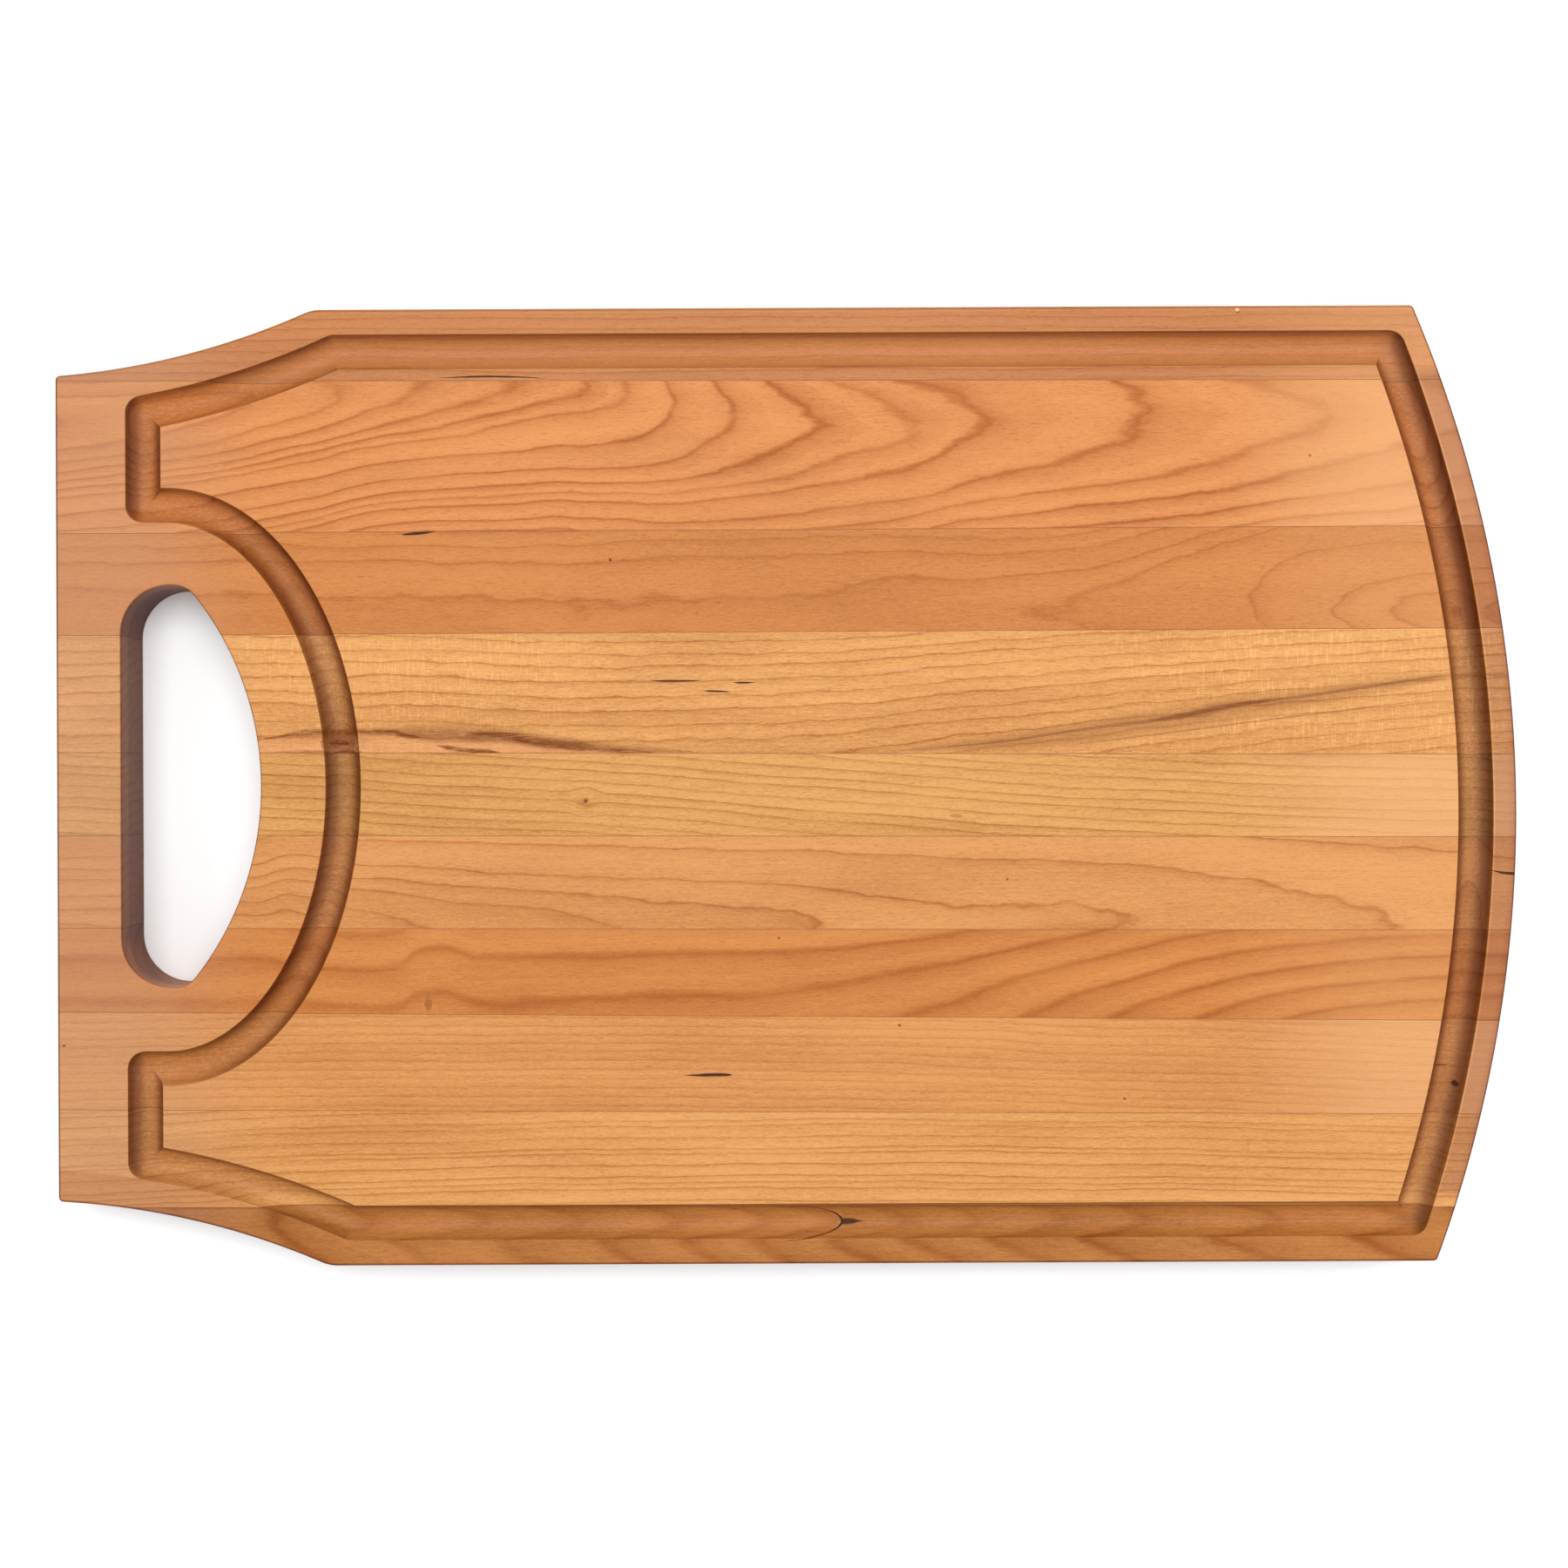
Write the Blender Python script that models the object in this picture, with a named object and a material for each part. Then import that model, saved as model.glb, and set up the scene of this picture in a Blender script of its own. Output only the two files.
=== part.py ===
"""Cherry carving board: ten edge-glued staves, a routed juice groove and a cut-through handle opening.

Metres. +X runs along the staves towards the curved end, +Y across them, +Z up. The origin is under the
middle of the board, on the surface that the board lies on.
"""

import math

import bmesh
import bpy
from mathutils import Vector

# Outline of the board
LENGTH = 0.432
WIDTH = 0.283
THICKNESS = 0.019
HANDLE_END_WIDTH = 0.2445  # the straight end, between its two corners
SCOOP_RADIUS = 0.226  # the hollow curves from the handle end out to the long edges
UPPER_SHOULDER_X = -0.140  # where the +Y hollow curve meets the long edge
LOWER_SHOULDER_X = -0.136  # the same on the -Y side, shaped by hand and a little later
CURVED_END_RADIUS = 0.383
CURVED_END_CENTRE_Y = -0.0076
SHOULDER_ROUNDING = 0.012
CORNER_ROUNDING = 0.0015
RIM_ROUNDING = 0.001

# Handle opening: straight towards the handle end, bowed towards the middle of the board
HANDLE_STRAIGHT_X = -0.1967
HANDLE_BOW_X = -0.1556
HANDLE_LENGTH = 0.119
HANDLE_CENTRE_Y = 0.0006
HANDLE_CORNER_RADIUS = 0.0145
HANDLE_BOW_RADIUS = 0.0914
HANDLE_BLEND_RADIUS = 0.008
HANDLE_EASING = 0.0006  # small chamfer round both mouths of the opening

# Juice groove, cut with a round-nosed cutter
GROOVE_CUTTER_RADIUS = 0.0053
GROOVE_DEPTH = 0.004
GROOVE_INSET_EDGES = 0.0127  # centre line to the long edges
GROOVE_INSET_SCOOPS = 0.01435  # centre line to the hollow curves
GROOVE_HANDLE_END_X = -0.190
GROOVE_CURVED_END_X = 0.2038
GROOVE_CURVED_END_RADIUS = 0.379
ARCH_CENTRE_X = -0.18325  # the arch that carries the groove round the handle opening
ARCH_CENTRE_Y = 0.0004
ARCH_HALF_SPAN = 0.0833
ARCH_REACH = 0.0521

# Where each glue line meets the handle end and the curved end, from the +Y edge down
SEAMS = (
    (0.1205, 0.1192),
    (0.0754, 0.0761),
    (0.0453, 0.0458),
    (0.0107, 0.0084),
    (-0.0138, -0.0160),
    (-0.0412, -0.0436),
    (-0.0660, -0.0704),
    (-0.0949, -0.0980),
    (-0.1238, -0.1254),
)
GLUE_FILM = 0.0002
CLEARANCE = 0.0003  # between a stave and its glue film
HANDLE_MIDDLE_X = -0.178  # splits the staves that the opening cuts in two

# Facets
CORNER_STEPS = 2
SHOULDER_STEPS = 3
HANDLE_CORNER_STEPS = 8
HANDLE_BLEND_STEPS = 4
HANDLE_BOW_STEPS = 18
CURVE_STEPS = 12
CURVED_END_STEPS = 24
ARCH_STEPS = 26
GROOVE_PROFILE_STEPS = 8
CORNER_FAN_STEPS = 4
OVERSHOOT = 0.004  # how far cutters and stave blanks reach past the board

# Stave colours, linear, from the +Y edge down
WOOD_COLOURS = (
    (0.60, 0.22, 0.080),
    (0.78, 0.32, 0.125),
    (0.69, 0.27, 0.091),
    (0.79, 0.37, 0.136),
    (0.75, 0.38, 0.133),
    (0.74, 0.32, 0.118),
    (0.68, 0.25, 0.078),
    (0.73, 0.32, 0.107),
    (0.75, 0.35, 0.120),
    (0.44, 0.17, 0.048),
)
GLUE_COLOUR = (0.16, 0.07, 0.03)


def arc(centre, radius, start, end, steps):
    """Points on a circle from angle start to angle end, both ends included."""
    points = []
    for step in range(steps + 1):
        angle = start + (end - start) * step / steps
        points.append(centre + radius * Vector((math.cos(angle), math.sin(angle))))
    return points


def arc_between(start, end, radius, steps):
    """The shorter arc from start to end that bows to the left of the way between them."""
    half_chord = (end - start) / 2
    left = Vector((-half_chord.y, half_chord.x)).normalized()
    centre = (start + end) / 2 - left * math.sqrt(radius**2 - half_chord.length_squared)
    first = math.atan2(start.y - centre.y, start.x - centre.x)
    last = math.atan2(end.y - centre.y, end.x - centre.x)
    return arc(centre, radius, first, last, steps), centre


def rounded(before, corner, after, radius, steps):
    """An arc in place of the corner between two straight stretches."""
    back = (before - corner).normalized()
    ahead = (after - corner).normalized()
    half_angle = back.angle(ahead) / 2
    middle = (back + ahead).normalized()
    centre = corner + middle * radius / math.sin(half_angle)
    reach = radius / math.tan(half_angle)
    start = corner + back * reach - centre
    end = corner + ahead * reach - centre
    turn = start.angle_signed(end)
    first = math.atan2(start.y, start.x)
    return arc(centre, radius, first, first - turn, steps)


def curved_end_x(y, reach, radius):
    """Where an arc like the curved end's stands at y, when its furthest point is at reach."""
    return reach - radius + math.sqrt(radius**2 - (y - CURVED_END_CENTRE_Y) ** 2)


def scoops():
    """Both hollow curves, each as its points from the handle end outwards and its centre."""
    upper_start = Vector((-LENGTH / 2, HANDLE_END_WIDTH / 2))
    upper_end = Vector((UPPER_SHOULDER_X, WIDTH / 2))
    lower_start = Vector((-LENGTH / 2, -HANDLE_END_WIDTH / 2))
    lower_end = Vector((LOWER_SHOULDER_X, -WIDTH / 2))
    upper, upper_centre = arc_between(upper_end, upper_start, SCOOP_RADIUS, CURVE_STEPS)
    lower, lower_centre = arc_between(lower_start, lower_end, SCOOP_RADIUS, CURVE_STEPS)
    return upper[::-1], upper_centre, lower, lower_centre


def board_outline():
    """The board from above, anticlockwise from its lower handle-end corner."""
    upper, _, lower, _ = scoops()
    half = WIDTH / 2
    lower_corner = Vector((curved_end_x(-half, LENGTH / 2, CURVED_END_RADIUS), -half))
    upper_corner = Vector((curved_end_x(half, LENGTH / 2, CURVED_END_RADIUS), half))
    centre = Vector((LENGTH / 2 - CURVED_END_RADIUS, CURVED_END_CENTRE_Y))
    first = math.atan2(lower_corner.y - centre.y, lower_corner.x - centre.x)
    last = math.atan2(upper_corner.y - centre.y, upper_corner.x - centre.x)
    end = arc(centre, CURVED_END_RADIUS, first, last, CURVED_END_STEPS)

    points = []
    points += rounded(upper[0], lower[0], lower[1], CORNER_ROUNDING, CORNER_STEPS)
    points += lower[1:-1]
    points += rounded(lower[-2], lower[-1], lower_corner, SHOULDER_ROUNDING, SHOULDER_STEPS)
    points += rounded(lower[-1], lower_corner, end[1], CORNER_ROUNDING, CORNER_STEPS)
    points += end[1:-1]
    points += rounded(end[-2], upper_corner, upper[-1], CORNER_ROUNDING, CORNER_STEPS)
    points += rounded(upper_corner, upper[-1], upper[-2], SHOULDER_ROUNDING, SHOULDER_STEPS)
    points += upper[-2:0:-1]
    points += rounded(upper[1], upper[0], lower[0], CORNER_ROUNDING, CORNER_STEPS)
    return points


def handle_outline(grow=0.0):
    """The handle opening from above, anticlockwise, or the same shape grown outwards."""
    corner_radius = HANDLE_CORNER_RADIUS + grow
    blend_radius = HANDLE_BLEND_RADIUS + grow
    bow_radius = HANDLE_BOW_RADIUS + grow
    half = HANDLE_LENGTH / 2 + grow
    corner_x = HANDLE_STRAIGHT_X - grow + corner_radius
    bow_centre = Vector((HANDLE_BOW_X + grow - bow_radius, HANDLE_CENTRE_Y))
    blend_y = half - blend_radius
    blend_x = bow_centre.x + math.sqrt((bow_radius - blend_radius) ** 2 - blend_y**2)
    bow_angle = math.atan2(blend_y, blend_x - bow_centre.x)
    quarter = math.pi / 2

    points = []
    centre = Vector((corner_x, HANDLE_CENTRE_Y - half + corner_radius))
    points += arc(centre, corner_radius, -2 * quarter, -quarter, HANDLE_CORNER_STEPS)
    centre = Vector((blend_x, HANDLE_CENTRE_Y - blend_y))
    points += arc(centre, blend_radius, -quarter, -bow_angle, HANDLE_BLEND_STEPS)
    points += arc(bow_centre, bow_radius, -bow_angle, bow_angle, HANDLE_BOW_STEPS)[1:-1]
    centre = Vector((blend_x, HANDLE_CENTRE_Y + blend_y))
    points += arc(centre, blend_radius, bow_angle, quarter, HANDLE_BLEND_STEPS)
    centre = Vector((corner_x, HANDLE_CENTRE_Y + half - corner_radius))
    points += arc(centre, corner_radius, quarter, 2 * quarter, HANDLE_CORNER_STEPS)
    return points


def groove_runs():
    """The groove's centre line, clockwise, as smooth runs that meet each other at sharp corners."""
    _, upper_centre, _, lower_centre = scoops()
    edge_y = WIDTH / 2 - GROOVE_INSET_EDGES
    scoop_radius = SCOOP_RADIUS + GROOVE_INSET_SCOOPS

    def scoop_run(centre, side):
        """One hollow stretch, from the handle end out to the long stretch on the same side."""
        start_x = GROOVE_HANDLE_END_X - centre.x
        start = math.atan2(-side * math.sqrt(scoop_radius**2 - start_x**2), start_x)
        end_y = side * edge_y - centre.y
        end = math.atan2(end_y, math.sqrt(scoop_radius**2 - end_y**2))
        return arc(centre, scoop_radius, start, end, CURVE_STEPS)

    upper_scoop = scoop_run(upper_centre, 1)
    lower_scoop = scoop_run(lower_centre, -1)

    end_centre = Vector((GROOVE_CURVED_END_X - GROOVE_CURVED_END_RADIUS, CURVED_END_CENTRE_Y))
    first = math.asin((edge_y - end_centre.y) / GROOVE_CURVED_END_RADIUS)
    last = math.asin((-edge_y - end_centre.y) / GROOVE_CURVED_END_RADIUS)
    curved_end = arc(end_centre, GROOVE_CURVED_END_RADIUS, first, last, CURVED_END_STEPS)

    arch = [Vector((GROOVE_HANDLE_END_X, ARCH_CENTRE_Y - ARCH_HALF_SPAN))]
    for step in range(ARCH_STEPS + 1):
        angle = -math.pi / 2 + math.pi * step / ARCH_STEPS
        x = ARCH_CENTRE_X + ARCH_REACH * math.cos(angle)
        y = ARCH_CENTRE_Y + ARCH_HALF_SPAN * math.sin(angle)
        arch.append(Vector((x, y)))
    arch.append(Vector((GROOVE_HANDLE_END_X, ARCH_CENTRE_Y + ARCH_HALF_SPAN)))

    return [
        upper_scoop,
        [upper_scoop[-1], curved_end[0]],
        curved_end,
        [curved_end[-1], lower_scoop[-1]],
        lower_scoop[::-1],
        [lower_scoop[0], arch[0]],
        arch,
        [arch[-1], upper_scoop[0]],
    ]


def left_of(direction):
    return Vector((-direction.y, direction.x)).normalized()


def run_stations(run):
    """For the inner points of a run, the point and the way to its left, twice: once for each side."""
    stations = []
    for before, point, after in zip(run, run[1:], run[2:]):
        left = left_of(after - before)
        stations.append((point, left, left))
    return stations


def corner_stations(before, corner, after):
    """Stations round a corner: mitred on the inside of the turn, fanned out on the outside."""
    left_in = left_of(corner - before)
    left_out = left_of(after - corner)
    turn = left_out.angle_signed(left_in)
    middle = (left_in + left_out).normalized()
    mitre = middle / math.cos(turn / 2)
    stations = []
    for step in range(CORNER_FAN_STEPS + 1):
        share = step / CORNER_FAN_STEPS
        start = math.atan2(left_in.y, left_in.x)
        fan = Vector((math.cos(start + turn * share), math.sin(start + turn * share)))
        if turn > 0:
            stations.append((corner, mitre, fan))
        else:
            stations.append((corner, fan, mitre))
    return stations


def groove_profile():
    """Half-round section as (distance to the left, height), open at the top."""
    radius = GROOVE_CUTTER_RADIUS
    centre_height = THICKNESS - GROOVE_DEPTH + GROOVE_CUTTER_RADIUS
    lip_angle = math.acos((centre_height - THICKNESS) / radius)
    profile = []
    for step in range(GROOVE_PROFILE_STEPS + 1):
        angle = lip_angle * (1 - 2 * step / GROOVE_PROFILE_STEPS)
        profile.append((radius * math.sin(angle), centre_height - radius * math.cos(angle)))
    top = THICKNESS + OVERSHOOT
    return [(profile[0][0], top)] + profile + [(profile[-1][0], top)]


def mesh_object(name, mesh_builder):
    """A new object around a mesh that mesh_builder fills in, with its faces pointing out."""
    mesh = bpy.data.meshes.new(name)
    bm = bmesh.new()
    mesh_builder(bm)
    bmesh.ops.remove_doubles(bm, verts=bm.verts, dist=1e-6)
    bmesh.ops.recalc_face_normals(bm, faces=bm.faces)
    bm.to_mesh(mesh)
    bm.free()
    obj = bpy.data.objects.new(name, mesh)
    bpy.context.scene.collection.objects.link(obj)
    return obj


def add_prism(bm, outline, bottom, top):
    """A closed prism over an outline."""
    verts = [bm.verts.new((point.x, point.y, bottom)) for point in outline]
    floor = bm.faces.new(verts)
    lifted = bmesh.ops.extrude_face_region(bm, geom=[floor])
    moved = [item for item in lifted["geom"] if isinstance(item, bmesh.types.BMVert)]
    bmesh.ops.translate(bm, verts=moved, vec=(0, 0, top - bottom))


def add_loft(bm, loops):
    """A closed solid through equal loops of points, capped at both ends."""
    rings = [[bm.verts.new(point) for point in loop] for loop in loops]
    for low, high in zip(rings, rings[1:]):
        for i, vert in enumerate(low):
            following = (i + 1) % len(low)
            bm.faces.new((vert, low[following], high[following], high[i]))
    bm.faces.new(rings[0])
    bm.faces.new(rings[-1])


def board_blank():
    """The whole board before routing, with its rims rounded top and bottom."""

    def build(bm):
        add_prism(bm, board_outline(), 0.0, THICKNESS)
        rims = [edge for edge in bm.edges if abs(edge.verts[0].co.z - edge.verts[1].co.z) < 1e-6]
        bmesh.ops.bevel(
            bm,
            geom=rims,
            offset=RIM_ROUNDING,
            offset_type="OFFSET",
            segments=2,
            profile=0.5,
            affect="EDGES",
        )

    return mesh_object("board_blank", build)


def handle_cutter():
    """A plug the shape of the handle opening, flared at both mouths to ease their edges."""

    def build(bm):
        levels = (
            (-OVERSHOOT, HANDLE_EASING + OVERSHOOT),
            (HANDLE_EASING, 0.0),
            (THICKNESS - HANDLE_EASING, 0.0),
            (THICKNESS + OVERSHOOT, HANDLE_EASING + OVERSHOOT),
        )
        loops = []
        for height, grow in levels:
            loops.append([(point.x, point.y, height) for point in handle_outline(grow)])
        add_loft(bm, loops)

    return mesh_object("handle_cutter", build)


def groove_cutter():
    """The solid that the round-nosed cutter sweeps out along the groove's centre line."""
    runs = groove_runs()
    stations = []
    for run, following in zip(runs, runs[1:] + runs[:1]):
        stations += run_stations(run)
        stations += corner_stations(run[-2], run[-1], following[1])

    def build(bm):
        profile = groove_profile()
        rings = []
        for point, left, right in stations:
            ring = []
            for distance, height in profile:
                side = left if distance > 0 else right
                place = point + side * distance
                ring.append(bm.verts.new((place.x, place.y, height)))
            rings.append(ring)
        for ring, following in zip(rings, rings[1:] + rings[:1]):
            for i, vert in enumerate(ring):
                j = (i + 1) % len(ring)
                bm.faces.new((vert, ring[j], following[j], following[i]))

    return mesh_object("groove_cutter", build)


def seam_point(seam, x, shift):
    """A point on a glue line at x, shifted across the board."""
    at_handle_end, at_curved_end = seam
    share = (x + LENGTH / 2) / LENGTH
    return Vector((x, at_handle_end + (at_curved_end - at_handle_end) * share + shift))


def strip(name, upper_seam, upper_shift, lower_seam, lower_shift, start_x, end_x):
    """An uncut length of wood or glue between two lines across the whole height of the board."""
    outline = [
        seam_point(lower_seam, start_x, lower_shift),
        seam_point(lower_seam, end_x, lower_shift),
        seam_point(upper_seam, end_x, upper_shift),
        seam_point(upper_seam, start_x, upper_shift),
    ]
    return mesh_object(name, lambda bm: add_prism(bm, outline, -OVERSHOOT, THICKNESS + OVERSHOOT))


def shape(obj, blank, cutters):
    """Trims a strip to the board's outside, then cuts the openings out of it."""
    trim = obj.modifiers.new("board_outside", "BOOLEAN")
    trim.operation = "INTERSECT"
    trim.solver = "EXACT"
    trim.object = blank
    for cutter in cutters:
        cut = obj.modifiers.new(cutter.name, "BOOLEAN")
        cut.operation = "DIFFERENCE"
        cut.solver = "EXACT"
        cut.object = cutter


def material(name, colour, roughness):
    made = bpy.data.materials.new(name)
    made.use_nodes = True
    shader = made.node_tree.nodes["Principled BSDF"]
    shader.inputs["Base Color"].default_value = (*colour, 1.0)
    shader.inputs["Roughness"].default_value = roughness
    shader.inputs["Metallic"].default_value = 0.0
    return made


def crosses_handle(seam):
    """True for a glue line that the handle opening interrupts."""
    reach = HANDLE_LENGTH / 2
    return abs(seam_point(seam, HANDLE_MIDDLE_X, 0.0).y - HANDLE_CENTRE_Y) < reach


def add_stave(number, upper, lower, blank, cutters):
    """One stave, or its grip and main lengths where the handle opening cuts right through it."""
    wood = material(f"cherry_{number:02d}", WOOD_COLOURS[number - 1], 0.5)
    half_gap = GLUE_FILM / 2 + CLEARANCE
    outside = LENGTH / 2 + OVERSHOOT
    upper_shift = -half_gap if upper else 0.0
    lower_shift = half_gap if lower else 0.0
    edge = WIDTH / 2 + OVERSHOOT
    upper_line = upper or (edge, edge)
    lower_line = lower or (-edge, -edge)
    lengths = [(f"stave_{number:02d}", -outside, outside)]
    if upper and lower and crosses_handle(upper) and crosses_handle(lower):
        lengths = [
            (f"stave_{number:02d}_grip", -outside, HANDLE_MIDDLE_X),
            (f"stave_{number:02d}_main", HANDLE_MIDDLE_X, outside),
        ]
    for name, start_x, end_x in lengths:
        obj = strip(name, upper_line, upper_shift, lower_line, lower_shift, start_x, end_x)
        obj.data.materials.append(wood)
        shape(obj, blank, cutters)


def add_glue_line(number, seam, glue, blank, cutters):
    """The glue film between two staves, in two lengths where the handle opening interrupts it."""
    name = f"glue_line_{number:02d}_{number + 1:02d}"
    outside = LENGTH / 2 + OVERSHOOT
    lengths = [(name, -outside, outside)]
    if crosses_handle(seam):
        lengths = [
            (f"{name}_grip", -outside, HANDLE_MIDDLE_X),
            (f"{name}_main", HANDLE_MIDDLE_X, outside),
        ]
    for part_name, start_x, end_x in lengths:
        obj = strip(part_name, seam, GLUE_FILM / 2, seam, -GLUE_FILM / 2, start_x, end_x)
        obj.data.materials.append(glue)
        shape(obj, blank, cutters)


def main():
    for obj in list(bpy.data.objects):
        bpy.data.objects.remove(obj, do_unlink=True)

    blank = board_blank()
    cutters = [handle_cutter(), groove_cutter()]
    for tool in [blank] + cutters:
        tool.hide_render = True
        tool.display_type = "WIRE"

    bounds = [None, *SEAMS, None]
    for number, (upper, lower) in enumerate(zip(bounds, bounds[1:]), start=1):
        add_stave(number, upper, lower, blank, cutters)

    glue = material("wood_glue", GLUE_COLOUR, 0.35)
    for number, seam in enumerate(SEAMS, start=1):
        add_glue_line(number, seam, glue, blank, cutters)


main()
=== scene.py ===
"""Looks of the cherry carving board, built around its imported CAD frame.

The board is modelled once as one fine skin, sliced along the CAD's glue lines into the same staves and
glue films, and every stave gets solid procedural cherry: growth rings round a pith line, fibre, pores,
figure, gum pockets and mineral streaks. Geometry is in metres. The wood's figure is written in
millimetres, because that is how it is measured on a board.
"""

import math

import bmesh
import bpy
import numpy as np
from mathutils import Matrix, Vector


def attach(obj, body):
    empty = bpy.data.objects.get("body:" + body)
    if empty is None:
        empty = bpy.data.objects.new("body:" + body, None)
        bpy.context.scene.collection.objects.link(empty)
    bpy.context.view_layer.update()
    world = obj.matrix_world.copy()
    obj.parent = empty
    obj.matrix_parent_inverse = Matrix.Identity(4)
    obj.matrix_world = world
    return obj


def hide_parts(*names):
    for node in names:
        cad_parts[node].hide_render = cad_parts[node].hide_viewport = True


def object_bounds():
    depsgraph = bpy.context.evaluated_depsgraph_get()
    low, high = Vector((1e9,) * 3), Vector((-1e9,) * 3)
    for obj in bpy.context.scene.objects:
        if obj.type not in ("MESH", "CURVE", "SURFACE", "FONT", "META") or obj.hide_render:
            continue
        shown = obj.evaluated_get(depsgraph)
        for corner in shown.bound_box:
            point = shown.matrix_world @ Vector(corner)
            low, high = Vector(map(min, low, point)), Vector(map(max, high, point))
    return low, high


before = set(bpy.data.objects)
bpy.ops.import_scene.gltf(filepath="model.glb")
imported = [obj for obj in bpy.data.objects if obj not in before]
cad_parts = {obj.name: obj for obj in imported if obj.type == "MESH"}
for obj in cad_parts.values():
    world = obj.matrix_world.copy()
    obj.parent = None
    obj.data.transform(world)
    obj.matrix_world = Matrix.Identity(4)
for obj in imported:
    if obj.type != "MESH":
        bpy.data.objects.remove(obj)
CAD_LOW, CAD_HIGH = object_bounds()

# Board, as in the CAD
LENGTH = CAD_HIGH.x - CAD_LOW.x
WIDTH = CAD_HIGH.y - CAD_LOW.y
THICKNESS = CAD_HIGH.z - CAD_LOW.z
HANDLE_END_WIDTH = 0.2445
SCOOP_RADIUS = 0.226
UPPER_SHOULDER_X = -0.140
LOWER_SHOULDER_X = -0.136
CURVED_END_RADIUS = 0.383
CURVED_END_CENTRE_Y = -0.0076
SHOULDER_ROUNDING = 0.012
CORNER_ROUNDING = 0.0015
RIM_ROUNDING = 0.0009

HANDLE_STRAIGHT_X = -0.1967
HANDLE_BOW_X = -0.1556
HANDLE_LENGTH = 0.119
HANDLE_CENTRE_Y = 0.0006
HANDLE_CORNER_RADIUS = 0.0145
HANDLE_BOW_RADIUS = 0.0914
HANDLE_BLEND_RADIUS = 0.008
HANDLE_EASING = 0.0006

GROOVE_CUTTER_RADIUS = 0.0053
GROOVE_DEPTH = 0.004
GROOVE_LIP_ROUNDING = 0.0003
GROOVE_INSET_EDGES = 0.0127
GROOVE_INSET_SCOOPS = 0.01435
GROOVE_HANDLE_END_X = -0.190
GROOVE_CURVED_END_X = 0.2038
GROOVE_CURVED_END_RADIUS = 0.379
ARCH_CENTRE_X = -0.18325
ARCH_CENTRE_Y = 0.0004
ARCH_HALF_SPAN = 0.0833
ARCH_REACH = 0.0521

# Glue lines
SEAM_GAP = 0.00016
GLUE_FILM = 0.00012
HANDLE_MIDDLE_X = -0.178

# Fineness of the skin
CURVE_STEP = 0.0016
CORNER_STEPS = 8
EDGE_STEPS = 5
LIP_STEPS = 4
GROOVE_STEPS = 22
SHARP_ANGLE = math.radians(22)

QUARTER = math.pi / 2
MM = 1000.0  # millimetres in a metre


# ---------------------------------------------------------------- outlines


def steps_for(length):
    return max(4, round(length / CURVE_STEP))


def arc(centre, radius, start, end, steps=None):
    """Points on a circle from angle start to angle end, both ends included."""
    steps = steps or steps_for(abs(end - start) * radius)
    points = []
    for step in range(steps + 1):
        angle = start + (end - start) * step / steps
        points.append(centre + radius * Vector((math.cos(angle), math.sin(angle))))
    return points


def arc_between(start, end, radius):
    """The shorter arc from start to end that bows to the left of the way between them."""
    half_chord = (end - start) / 2
    left = Vector((-half_chord.y, half_chord.x)).normalized()
    centre = (start + end) / 2 - left * math.sqrt(radius**2 - half_chord.length_squared)
    first = math.atan2(start.y - centre.y, start.x - centre.x)
    last = math.atan2(end.y - centre.y, end.x - centre.x)
    return arc(centre, radius, first, last), centre


def rounded(before, corner, after, radius):
    """An arc in place of the corner between two straight stretches, and how far along them it reaches."""
    back = (before - corner).normalized()
    ahead = (after - corner).normalized()
    half_angle = back.angle(ahead) / 2
    centre = corner + (back + ahead).normalized() * radius / math.sin(half_angle)
    reach = radius / math.tan(half_angle)
    start = corner + back * reach - centre
    end = corner + ahead * reach - centre
    first = math.atan2(start.y, start.x)
    return arc(centre, radius, first, first - start.angle_signed(end), CORNER_STEPS), reach


def clear_of(points, place, distance):
    """The points further than distance from a place."""
    return [point for point in points if (point - place).length > distance]


def curved_end_x(y, reach, radius):
    """Where an arc like the curved end's stands at y, when its furthest point is at reach."""
    return reach - radius + math.sqrt(radius**2 - (y - CURVED_END_CENTRE_Y) ** 2)


def scoops():
    """Both hollow curves, each as its points from the handle end outwards and its centre."""
    upper_start = Vector((-LENGTH / 2, HANDLE_END_WIDTH / 2))
    upper_end = Vector((UPPER_SHOULDER_X, WIDTH / 2))
    lower_start = Vector((-LENGTH / 2, -HANDLE_END_WIDTH / 2))
    lower_end = Vector((LOWER_SHOULDER_X, -WIDTH / 2))
    upper, upper_centre = arc_between(upper_end, upper_start, SCOOP_RADIUS)
    lower, lower_centre = arc_between(lower_start, lower_end, SCOOP_RADIUS)
    return upper[::-1], upper_centre, lower, lower_centre


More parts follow.
